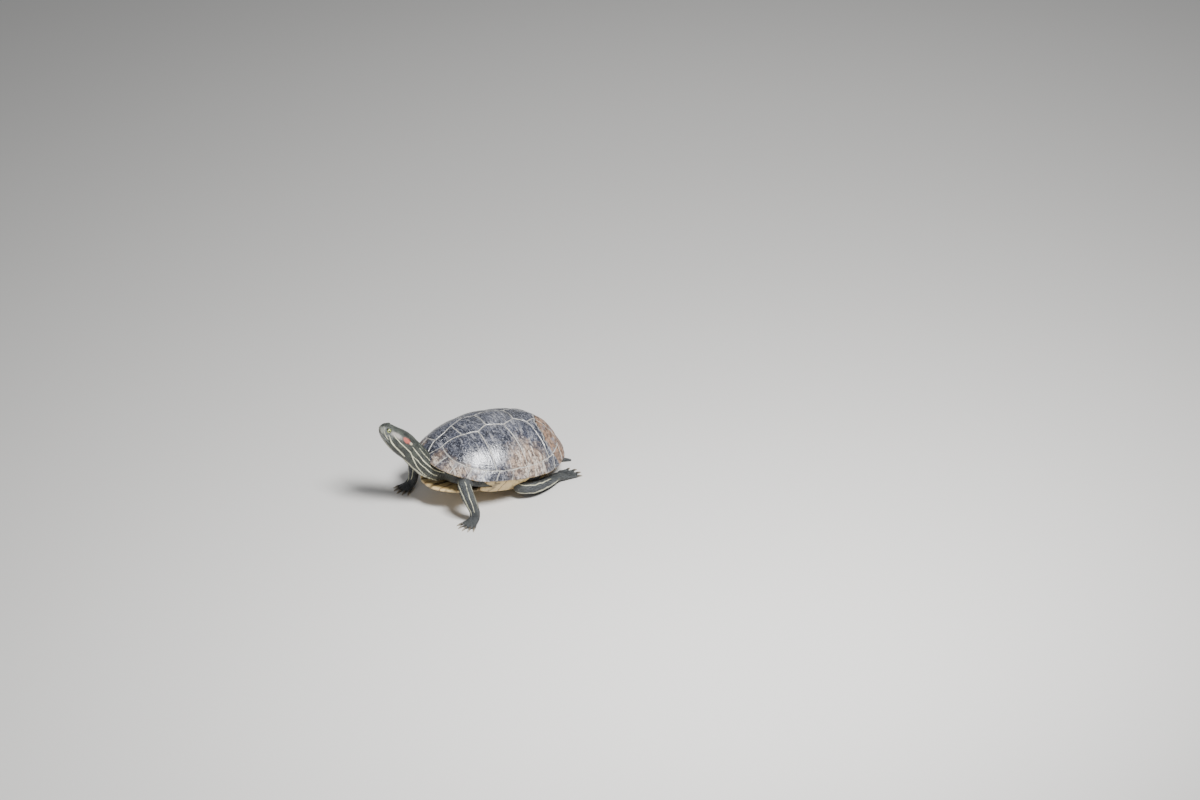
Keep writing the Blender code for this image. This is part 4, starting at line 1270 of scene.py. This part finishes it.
lines = paint.noise(1.4, 3.0, 0.5, 0.2, (1.0, 1.0, 0.25))
horn_tone = paint.blend(lines, (0.075, 0.085, 0.078), (0.36, 0.36, 0.30))
base = paint.over(base, horn_tone, beak_share, 0.8)
mouth_dark = paint.mask(paint.size_of(paint.field("mouth")), 0.42, 0.12)
base = paint.blend(mouth_dark, base, (0.012, 0.010, 0.009))
smooth_beak = paint.math("SUBTRACT", 1.0, paint.times(beak_share, 0.85))
paint.bump(paint.times(paint.mask(pebble_edge, 0.0, 0.22), smooth_beak), 0.16)
paint.bump(paint.times(paint.mask(plate_edge, 0.0, 0.16), limb), 0.26)
paint.bump(paint.noise(0.7, 2.0), 0.06)
paint.bump(paint.noise(5.0, 4.0, 0.6, 1.2), 0.40)
shine = paint.blend(paint.mask(cloud, 0.35, 0.65), 0.34, 0.52)
paint.finish(skin, base, shine)
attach(skin, "root")
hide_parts(*FLESH)
print("skin:", sum(len(f.vertices) - 2 for f in skin.data.polygons), "triangles")

# %% [markdown]
# ## Eyes
# The iris is yellow green with a dark round pupil, and a dark bar crosses it in line
# with the stripe behind the eye, which hides the eye among the markings. The ball is a
# sphere whose rings run round the gaze, so that the pupil is cut by its own rings.

# %% Make the eyes
EYE_SECTORS, EYE_RINGS = 56, 40
CORNEA_EDGE, CORNEA_BULGE = 34, 0.00022  # degrees off the gaze, and metres


def make_eye(side):
    """A ball with a slight bulge at its cornea, and the numbers its finish needs."""
    work = bmesh.new()
    bmesh.ops.create_uvsphere(
        work, u_segments=EYE_SECTORS, v_segments=EYE_RINGS, radius=EYE_RADIUS / 1000
    )
    look = Vector(LOOK[side])
    ahead = Vector(head_forward - (head_forward @ LOOK[side]) * LOOK[side]).normalized()
    turn = Matrix((ahead, look.cross(ahead), look)).transposed().to_4x4()
    mesh = bpy.data.meshes.new("eye")
    gaze = work.verts.layers.float.new("gaze")
    bar = work.verts.layers.float.new("bar")
    for vertex in work.verts:
        share = vertex.co.z / (EYE_RADIUS / 1000)
        vertex[gaze] = math.degrees(math.acos(max(-1.0, min(1.0, share))))
        vertex[bar] = vertex.co.y * 1000
        bulge = max(0.0, 1 - vertex[gaze] / CORNEA_EDGE) ** 0.5
        vertex.co += vertex.co.normalized() * CORNEA_BULGE * bulge
    work.transform(Matrix.Translation(Vector(eye_centres[side])) @ turn)
    work.to_mesh(mesh)
    work.free()
    mesh.shade_smooth()
    ball = bpy.data.objects.new("eyeball_" + side, mesh)
    bpy.context.scene.collection.objects.link(ball)
    return ball


def paint_eye(ball):
    paint = Paint(ball.name + "_finish")
    gaze, bar = paint.field("gaze"), paint.field("bar")
    fleck = paint.noise(0.45, 3.0, 0.6)
    iris = paint.blend(paint.mask(fleck, 0.36, 0.64), (0.10, 0.12, 0.030), (0.40, 0.43, 0.14))
    ring = paint.mask(paint.size_of(paint.math("SUBTRACT", gaze, 18.0)), 3.2, 0.8)
    iris = paint.over(iris, (0.60, 0.62, 0.28), ring, 0.5)
    dark_bar = paint.mask(paint.scaled_sum(fleck, 0.5, paint.size_of(bar)), 1.05, 0.72)
    iris = paint.over(iris, (0.012, 0.013, 0.010), dark_bar, 0.96)
    iris = paint.blend(paint.mask(gaze, 30.0, 38.0), iris, (0.020, 0.022, 0.018))
    iris = paint.blend(paint.mask(gaze, 15.3, 13.9), iris, (0.003, 0.003, 0.003))
    paint.bump(fleck, 0.01)
    wet = paint.blend(paint.mask(gaze, 36.0, 46.0), 0.05, 0.16)
    paint.finish(ball, iris, wet, **{"Coat Weight": 1.0, "Coat Roughness": 0.03, "IOR": 1.42})


for side in SIDES:
    ball = make_eye(side)
    paint_eye(ball)
    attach(ball, "root")
    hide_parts("eye_" + side)
print("eyes", 2 * EYE_RADIUS, "mm across")

# %% [markdown]
# ## The plastron
# The belly shield is a flat plate of six pairs of scutes that meet on a midline. It is
# made like the carapace, from a grid bent to its outline, with its own seam numbers.
# The front pair, the gulars, form a wedge, and the rear pair end in a notch for the tail.

# %% Build the plastron
PLASTRON_LOW, PLASTRON_THICK = -0.145, 0.021
PLASTRALS = ([-0.5, -0.30, -0.165, 0.055, 0.185, 0.335, 0.5], [5.7, 5, 4, 3, 2, 1, 0.3])
PLASTRAL_SLANT = ([-0.42, -0.28, -0.165, 0.055, 0.185, 0.33], [0.55, 0.45, -0.08, 0.03, -0.12, -0.65])
BELLY_REACH, BELLY_BACK_SHIFT = 0.465, 0.005
LOBE_WIDTH, LOBE_WAIST, REAR_NARROWING, LOBE_POWER = 0.255, 0.035, 0.05, 0.7
TAIL_NOTCH, TAIL_NOTCH_SPREAD = 0.035, 0.055
BELLY_GRID = 150


def plastron_outline(angle):
    ahead, aside = np.cos(angle), np.sin(angle)
    forward = BELLY_REACH * ahead - BELLY_BACK_SHIFT
    lobe = LOBE_WIDTH - LOBE_WAIST * np.cos(2 * angle) ** 2
    narrowing = REAR_NARROWING * np.clip(-ahead, 0, None) ** 2
    left = (lobe - narrowing) * np.sign(aside) * np.abs(aside) ** LOBE_POWER
    return forward + TAIL_NOTCH * bell(left, TAIL_NOTCH_SPREAD) * (ahead < 0), left


def plastron_lift(forward):
    return -0.014 * np.clip((forward - 0.18) / 0.28, 0, None) ** 2


def plastron_points(share, angle, height):
    forward, left = plastron_outline(angle)
    return from_shell(forward * share, left * share, height + plastron_lift(forward * share))


belly_radius, belly_angle, belly_quads, belly_border = disk_grid(BELLY_GRID)
belly_radius = np.clip(belly_radius, 0, 1)
rounding = 0.0075 * rise(belly_radius, 0.92, 1.0) ** 2
belly_points = plastron_points(belly_radius, belly_angle, PLASTRON_LOW + rounding)
belly_forward, belly_left, _ = to_shell(belly_points)
slant = np.interp(belly_forward, *PLASTRAL_SLANT)
wave = 0.004 * wobble(belly_forward, belly_left * 3, 6.0)
plastral = np.interp(belly_forward + slant * np.abs(belly_left) + wave, *PLASTRALS)
belly_cells = {"plastral": plastral, "column": belly_left + 0.5 * wave}
belly_gap = seam_distances(belly_cells, belly_points, BELLY_GRID)
belly_seam = np.minimum(np.abs(belly_gap["plastral"]), np.abs(belly_gap["column"]))
relief = 0.35 * (1 - np.exp(-belly_seam / 6.0)) - 0.42 * bell(belly_seam, 0.8)
relief += 0.15 * smooth_noise(belly_points, 0.028, 21)
belly_points = belly_points - UP * relief[:, None] / 1000
settle_corners(belly_points, BELLY_GRID)
print("widest half plastral:", round(float(belly_seam.max()), 1), "mm")

# %% [markdown]
# ### Edge and upper face of the plastron
# Rings close the plate as they close the carapace, here round its edge and over its top.

# %% Close the plastron
around = belly_angle[belly_border]
high = PLASTRON_LOW + PLASTRON_THICK
belly_rings = [
    plastron_points(share, around, high - drop)
    for share, drop in ((1.003, 0.009), (0.998, 0.003), (0.985, 0), (0.94, 0), (0.5, 0))
]
middle = from_shell(0, 0, high)
plastron = closed_plate(
    "plastron_scutes", belly_points, belly_quads, belly_border, belly_rings, middle, flipped=True
)


def with_belly_rings(values):
    return np.concatenate([values, np.tile(values[belly_border], len(belly_rings)), [values[0]]])


store(plastron, "plate_across", with_belly_rings(belly_gap["plastral"]))
store(plastron, "plate_middle", with_belly_rings(belly_gap["column"]))
store(plastron, "plate_near", with_belly_rings(belly_seam))
plastron.data.shade_smooth()
print("plastron:", sum(len(f.vertices) - 2 for f in plastron.data.polygons), "triangles")

# %% [markdown]
# ## The bridges
# Between the legs the belly shield is joined to the carapace by a wall on each side.
# The pectoral and abdominal scutes run up onto it, so its one seam continues theirs.

# %% Build the bridges
BRIDGE_PLATES = ([-0.30, -0.165, 0.055, 0.165, 0.30], [0.3, 1, 2, 3, 3.7])
BRIDGE_SWELL, BRIDGE_VOXEL = 0.0004, 0.0009  # a finer grid than the skin's, for thinner walls
bridges = []
for side in SIDES:
    bridge = fused(["bridge_" + side], BRIDGE_SWELL, BRIDGE_VOXEL)
    bridge.name = "bridge_scutes_" + side
    points = relax(vertices_of(bridge), edges_of(bridge), 6)
    forward, left, up = to_shell(points)
    bend = forward + 0.10 * (np.abs(left) - 0.25) + 0.004 * wobble(left * 3, up * 3, 8.0)
    across = np.interp(bend, *BRIDGE_PLATES)
    gap_across = np.sin(math.pi * across) / math.pi * 0.15 * UNIT * 1000
    relief = 0.20 - 0.45 * bell(gap_across, 0.9) + 0.15 * smooth_noise(points, 0.014, 31)
    set_points(bridge, points)
    set_points(bridge, over_ground(points + normals_of(bridge) * relief[:, None] / 1000))
    store(bridge, "plate_across", gap_across)
    store(bridge, "plate_middle", np.full(len(points), 30.0))
    store(bridge, "plate_near", np.abs(gap_across))
    bridge.data.shade_smooth()
    bridges.append(bridge)
print("bridges:", [len(bridge.data.polygons) for bridge in bridges], "faces")

# %% [markdown]
# ## Horn of the belly
# The belly is cream yellow with a dark smudge in each scute and rusty stains along the
# seams and edges, where pond iron settles.

# %% Finish of plastron and bridges
paint = Paint("belly_horn")
across, middle = paint.field("plate_across"), paint.field("plate_middle")
near = paint.field("plate_near")
to_seam = paint.least(paint.size_of(across), paint.size_of(middle))
fine = paint.noise(3.5, 4.0, 0.6)
patch = paint.noise(15.0, 4.0, 0.6, 0.6)
tone = paint.blend(fine, (0.55, 0.36, 0.13), (0.82, 0.66, 0.36))
rust = paint.mask(paint.scaled_sum(patch, 14.0, near), 10.5, 5.0)
rust_tone = paint.blend(fine, (0.30, 0.10, 0.025), (0.52, 0.24, 0.07))
tone = paint.over(tone, rust_tone, rust, 0.5)
blot = paint.mask(paint.scaled_sum(patch, 15.0, near), 15.2, 17.8)
blot_tone = paint.blend(fine, (0.022, 0.016, 0.010), (0.09, 0.055, 0.028))
tone = paint.over(tone, blot_tone, blot, 0.85)
rings_wave = paint.math("SINE", paint.times(near, 3.0))
tone = paint.blend(paint.mask(rings_wave, 0.6, 1.0, 0.0, 0.25), tone, (0.33, 0.19, 0.07))
tone = paint.blend(paint.mask(to_seam, 0.75, 0.25), tone, (0.10, 0.055, 0.025))
paint.bump(paint.mask(to_seam, 0.1, 0.9), 0.3)
paint.bump(rings_wave, 0.05)
paint.bump(fine, 0.12)
shine = paint.blend(fine, 0.34, 0.55)
for piece, solid in zip([plastron, *bridges], ["plastron", "bridge_left", "bridge_right"]):
    paint.finish(piece, tone, shine)
    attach(piece, "root")
    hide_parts(solid)
print("belly finish:", len(paint.nodes), "nodes")

# %% [markdown]
# ## Claws and limb scales from two small node trees
# All claws are one shape at many places, and so are the scales of the legs. Each tree
# makes its shape from named sizes, sets it on points that carry a heading and a size,
# and ends in plain faces. The claw is a tapering sweep along a bent curve, and the
# scale is a flattened dome whose free edge lifts a little.

# %% Node tree helper
class Tree(Network):
    """Builds a geometry node tree with named inputs."""

    def __init__(self, name, numbers):
        self.group = bpy.data.node_groups.new(name, "GeometryNodeTree")
        super().__init__(self.group)
        faces = self.group.interface
        faces.new_socket("Points", in_out="INPUT", socket_type="NodeSocketGeometry")
        faces.new_socket("Result", in_out="OUTPUT", socket_type="NodeSocketGeometry")
        faces.new_socket("Finish", in_out="INPUT", socket_type="NodeSocketMaterial")
        for label, value in numbers.items():
            made = faces.new_socket(label, in_out="INPUT", socket_type="NodeSocketFloat")
            made.default_value = value
        self.inputs = self.nodes.new("NodeGroupInput").outputs
        self.result = self.nodes.new("NodeGroupOutput").inputs[0]

    def vector(self, *xyz):
        return self.node("ShaderNodeCombineXYZ", dict(enumerate(xyz))).outputs[0]

    def named(self, name):
        """A vector kept on the points under this name."""
        kind = "GeometryNodeInputNamedAttribute"
        return self.node(kind, {"Name": name}, data_type="FLOAT_VECTOR").outputs["Attribute"]

    def scatter(self, shape):
        """Sets the shape on the points, realises it and gives it its finish."""
        rotation = self.node("FunctionNodeEulerToRotation", {0: self.named("heading")}).outputs[0]
        inputs = {"Points": self.inputs["Points"], "Instance": shape}
        inputs.update({"Rotation": rotation, "Scale": self.named("size")})
        placed = self.node("GeometryNodeInstanceOnPoints", inputs)
        real = self.node("GeometryNodeRealizeInstances", {0: placed.outputs[0]})
        smooth = self.node("GeometryNodeSetShadeSmooth", {0: real.outputs[0]})
        inputs = {0: smooth.outputs[0], "Material": self.inputs["Finish"]}
        self.connect(self.result, self.node("GeometryNodeSetMaterial", inputs).outputs[0])


print("tree helper ready")

# %% [markdown]
# ### From seeds to a plain mesh
# The seeds are loose points with a heading and a size. A modifier runs the tree on them,
# and what it makes replaces them.

# %% Growing from seeds
def grow(name, tree, material, points, heading, size):
    """Runs a tree on points and keeps the result as a plain mesh."""
    seeds = make_mesh(name, np.asarray(points), [])
    for label, values in (("heading", heading), ("size", size)):
        layer = seeds.data.attributes.new(label, "FLOAT_VECTOR", "POINT")
        layer.data.foreach_set("vector", np.asarray(values, np.float32).ravel())
    modifier = seeds.modifiers.new("grow", "NODES")
    modifier.node_group = tree.group
    sockets = {s.name: s.identifier for s in tree.group.interface.items_tree if s.in_out == "INPUT"}
    modifier[sockets["Finish"]] = material
    apply_modifiers(seeds)
    return seeds


print("ready to grow")

# %% [markdown]
# ### The claw
# A curve of three points gives the bend, and a circle swept along it gives the body.
# The radius falls from the root to a blunt tip by a power of what is left of the way.

# %% Claw tree
claw_tree = Tree("claw_tree", {"Arch": 0.16, "Taper": 0.62, "Tip": 0.05})
curve = claw_tree.node("GeometryNodeCurveQuadraticBezier", {
    "Resolution": 14, "Start": (0, 0, 0), "End": (1, 0, 0),
    "Middle": claw_tree.vector(0.55, 0.0, claw_tree.inputs["Arch"])})
along = claw_tree.node("GeometryNodeSplineParameter").outputs["Factor"]
left_over = claw_tree.math("SUBTRACT", 1.0, along)
tapered = claw_tree.math("POWER", left_over, claw_tree.inputs["Taper"])
radius = claw_tree.math("ADD", tapered, claw_tree.inputs["Tip"])
named = claw_tree.node("GeometryNodeStoreNamedAttribute", {
    "Geometry": curve.outputs[0], "Name": "along", "Value": along},
    data_type="FLOAT", domain="POINT")
outline = claw_tree.node("GeometryNodeCurvePrimitiveCircle", {"Resolution": 12, "Radius": 0.215})
swept = claw_tree.node("GeometryNodeCurveToMesh", {
    "Curve": named.outputs[0], "Profile Curve": outline.outputs[0], "Scale": radius,
    "Fill Caps": True})
claw_tree.scatter(swept.outputs[0])
print("claw tree:", len(claw_tree.nodes), "nodes")

# %% [markdown]
# ### Claws on the toes
# Each claw solid of the base says where its root and its tip are. The claw stands on
# the root, points at the tip and takes its length from between them.

# %% Grow the claws
claw_names = sorted(name for name in nodes if "_claw_" in name)
bases, headings, sizes = [], [], []
for name in claw_names:
    points = vertices_of(nodes[name])
    low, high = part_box(name.rsplit("_claw_", 1)[0])
    foot_middle = np.array((Vector(low) + Vector(high)) / 2)
    tip = points[np.argmax(np.linalg.norm(points - foot_middle, axis=1))]
    reach = np.linalg.norm(points - tip, axis=1)
    base = points[reach > 0.86 * reach.max()].mean(0)
    base = base + (base - tip) * 0.10
    run = tip - base
    length = float(np.linalg.norm(run))
    bases.append(base)
    headings.append((0, -math.asin(run[2] / length), math.atan2(run[1], run[0])))
    sizes.append((length, length * 0.82, length * 0.90))
paint = Paint("claw_horn")
along = paint.field("along")
grain = paint.noise(1.1, 3.0, 0.6, 0.3)
tone = paint.blend(paint.mask(along, 0.05, 0.95), (0.030, 0.027, 0.025), (0.28, 0.24, 0.18))
tone = paint.blend(paint.mask(grain, 0.50, 0.72, 0.0, 0.5), tone, (0.36, 0.32, 0.25))
paint.bump(grain, 0.06)
claws = grow("claws", claw_tree, paint.material, bases, headings, sizes)
set_points(claws, over_ground(vertices_of(claws)))
paint.finish(claws, tone, paint.blend(grain, 0.24, 0.45))
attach(claws, "root")
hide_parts(*claw_names)
print("claws:", len(claw_names), "longest", round(max(s[0] for s in sizes) * 1000, 1), "mm")

# %% [markdown]
# ### The scale
# A small sphere is flattened, narrowed towards its free edge and tilted, so that the
# edge stands a little off the skin.

# %% Scale tree
scale_tree = Tree("scale_tree", {"Thickness": 0.30, "Lift": 0.16})
ball = scale_tree.node("GeometryNodeMeshUVSphere", {"Segments": 10, "Rings": 5, "Radius": 0.5})
position = scale_tree.node("GeometryNodeInputPosition").outputs[0]
here = scale_tree.node("ShaderNodeSeparateXYZ", {0: position})
tilt = scale_tree.math("MULTIPLY", here.outputs["X"], scale_tree.inputs["Lift"])
flat = scale_tree.math("MULTIPLY_ADD", here.outputs["Z"], scale_tree.inputs["Thickness"], tilt)
pinch = scale_tree.math("MULTIPLY_ADD", here.outputs["X"], -0.35, 1.0)
wide = scale_tree.math("MULTIPLY", here.outputs["Y"], pinch)
shaped_scale = scale_tree.node("GeometryNodeSetPosition", {
    "Geometry": ball.outputs[0], "Position": scale_tree.vector(here.outputs["X"], wide, flat)})
scale_tree.scatter(shaped_scale.outputs[0])
print("scale tree:", len(scale_tree.nodes), "nodes")

# %% [markdown]
# ## Where the scales sit
# On the forearm broad scales overlap in rows across the front edge, and on the shank
# along the outer rear edge. Rows are laid out by distance along the limb and angle
# round it, each scale is set on the closest point of the skin, and its free
# edge points to the toes.

# %% Lay the scales
SCALE_FIELDS = {  # millimetres along from and to, degrees from and to, length of a scale
    "left_foreleg": (46, 92, -48, 72, 3.3), "right_foreleg": (46, 92, -48, 72, 3.3),
    "left_hindleg": (62, 112, 60, 165, 3.2), "right_hindleg": (62, 112, 60, 165, 3.2),
    "tail": (14, 50, -40, 40, 2.4),
}
PATCH_SIZE = 0.003  # of one scale on the map that unrolls each limb side by side
rng = np.random.default_rng(7)
skin_normals = normals_of(skin)
places = all_lines(skin_points)
seeds, headings, sizes, frames, roots = [], [], [], [], []
for island, (name, (start, end, first, last, size)) in enumerate(SCALE_FIELDS.items()):
    marks, turn, off = places[name]
    stations = over_floor(LEG_LINES[name])
    line, way, fine_marks = smooth_line(stations)
    mine = np.nonzero((share_of[name] > 0.5) & (off < 14))[0]
    for row, at in enumerate(np.arange(start, end, size * 0.72)):
        radius = float(np.median(off[mine][np.abs(marks[mine] - at) < 2.0]))
        spread = math.degrees(size * 0.95 / radius)
        for angle in np.arange(first + (row % 2) * spread / 2, last, spread):
            miss = (marks[mine] - at) ** 2 + (np.radians(turn[mine] - angle) * radius) ** 2
            spot = mine[np.argmin(miss)]
            if miss.min() > 1.2:
                continue
            normal = Vector(skin_normals[spot])
            heading = Vector([np.interp(at, fine_marks, way[:, k]) for k in range(3)])
            heading = (heading - normal * heading.dot(normal)).normalized()
            frame_of = Matrix((heading, normal.cross(heading), normal)).transposed()
            edge_share = min(angle - first, last - angle) / (last - first) * 2
            grow_to = size * (0.62 + 0.38 * min(1.0, 2 * edge_share)) * rng.uniform(0.9, 1.1) / 1000
            seeds.append(skin_points[spot] - skin_normals[spot] * 0.00012)
            headings.append(tuple(frame_of.to_euler()))
            sizes.append((grow_to * 1.12, grow_to * 1.06, grow_to * 0.85))
            frames.append(np.array(frame_of)[:, :2] / grow_to)
            roots.append(((island + marks[spot] / 150) / len(SCALE_FIELDS), turn[spot] / 360 + 0.5))
print("places for scales:", len(seeds))

# %% [markdown]
# ### Grow and finish the scales
# A scale carries the stripe that runs over it, and a map unrolls every limb with its
# scales side by side.

# %% Grow the scales
paint = Paint("limb_scale")
mark = paint.field("stripe")
cloud = paint.noise(2.2, 3.0, 0.6)
tone = paint.blend(paint.mask(cloud, 0.36, 0.64), (0.016, 0.018, 0.021), (0.070, 0.076, 0.082))
on_stripe = paint.mask(paint.scaled_sum(cloud, 0.6, mark), 1.45, 0.95)
tone = paint.over(tone, paint.blend(cloud, *CREAMS), on_stripe, 0.9)
paint.bump(cloud, 0.08)
scales = grow("limb_scales", scale_tree, paint.material, seeds, headings, sizes)
points = over_ground(vertices_of(scales))
set_points(scales, points)
scale_places = all_lines(points)
store(scales, "stripe", all_stripes(points, scale_places, limb_shares(scale_places)))
each = len(points) // len(seeds)  # points per scale, in the order of the seeds
from_seed = points.reshape(-1, each, 3) - np.array(seeds)[:, None]
spread_out = np.einsum("ijk,ikl->ijl", from_seed, np.array(frames))
patch = np.array(roots)[:, None] + PATCH_SIZE * spread_out
corner = np.empty(len(scales.data.loops), int)
scales.data.loops.foreach_get("vertex_index", corner)
scales.data.uv_layers.new(name="OFBake").uv.foreach_set("vector", patch.reshape(-1, 2)[corner].ravel())
paint.finish(scales, tone, paint.blend(cloud, 0.32, 0.52))
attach(scales, "root")
print("limb scales:", len(seeds))

# %% [markdown]
# ## Floor, light and camera
# A pale floor and three large soft lights. The key stands high on the animal's left, so
# its reflection lies on the second costal, where the flank turns to the light.

# %% Stage
bpy.ops.mesh.primitive_plane_add(size=9)
floor = bpy.context.object
floor.name = "floor"
paint = Paint("floor_grey")
paint.finish(floor, (0.62, 0.61, 0.59), 0.75)


def soft_light(name, offset, size, power):
    lamp = bpy.data.lights.new(name, "AREA")
    lamp.size, lamp.energy = size, power
    made = bpy.data.objects.new(name, lamp)
    made.location = Vector(SHELL_CENTRE) + Vector(offset)
    made.rotation_euler = (-Vector(offset)).to_track_quat("-Z", "Y").to_euler()
    bpy.context.scene.collection.objects.link(made)


# where from the shell, size in metres, power in watts
soft_light("key", (0.86, 0.08, 1.20), 0.38, 54)
soft_light("front_fill", (0.5, -1.6, 0.7), 1.2, 7)
soft_light("back_rim", (-0.9, 0.9, 1.0), 0.9, 3)
world = bpy.context.scene.world or bpy.data.worlds.new("world")
bpy.context.scene.world = world
world.use_nodes = True
world.node_tree.nodes["Background"].inputs["Color"].default_value = (0.80, 0.83, 0.88, 1)
world.node_tree.nodes["Background"].inputs["Strength"].default_value = 0.18

# %% [markdown]
# ## The camera
# A long lens far away keeps the shell free of distortion. The camera stands in line with
# the shell's left shoulder, thirty degrees up, and is then turned a little to the
# right and upwards, so that the animal sits left of the middle and below it.

# %% Camera
AZIMUTH, ELEVATION, ROLL, PAN, TILT = (math.radians(a) for a in (63.5, 29.9, 5.3, 0.974, 0.474))
DISTANCE = 9.18
towards = Vector((math.sin(AZIMUTH) * math.cos(ELEVATION), -math.cos(AZIMUTH) * math.cos(ELEVATION),
                  math.sin(ELEVATION)))
camera_data = bpy.data.cameras.new("camera")
camera_data.lens, camera_data.sensor_width = 200, 36
camera = bpy.data.objects.new("camera", camera_data)
turn = towards.to_track_quat("Z", "Y").to_matrix() @ Matrix.Rotation(-ROLL, 3, "Z")
turn = turn @ Matrix.Rotation(-PAN, 3, "Y") @ Matrix.Rotation(TILT, 3, "X")
camera.matrix_world = Matrix.Translation(Vector(SHELL_CENTRE) + towards * DISTANCE) @ turn.to_4x4()
bpy.context.scene.collection.objects.link(camera)
bpy.context.scene.camera = camera
print("camera at", [round(c, 2) for c in camera.location])
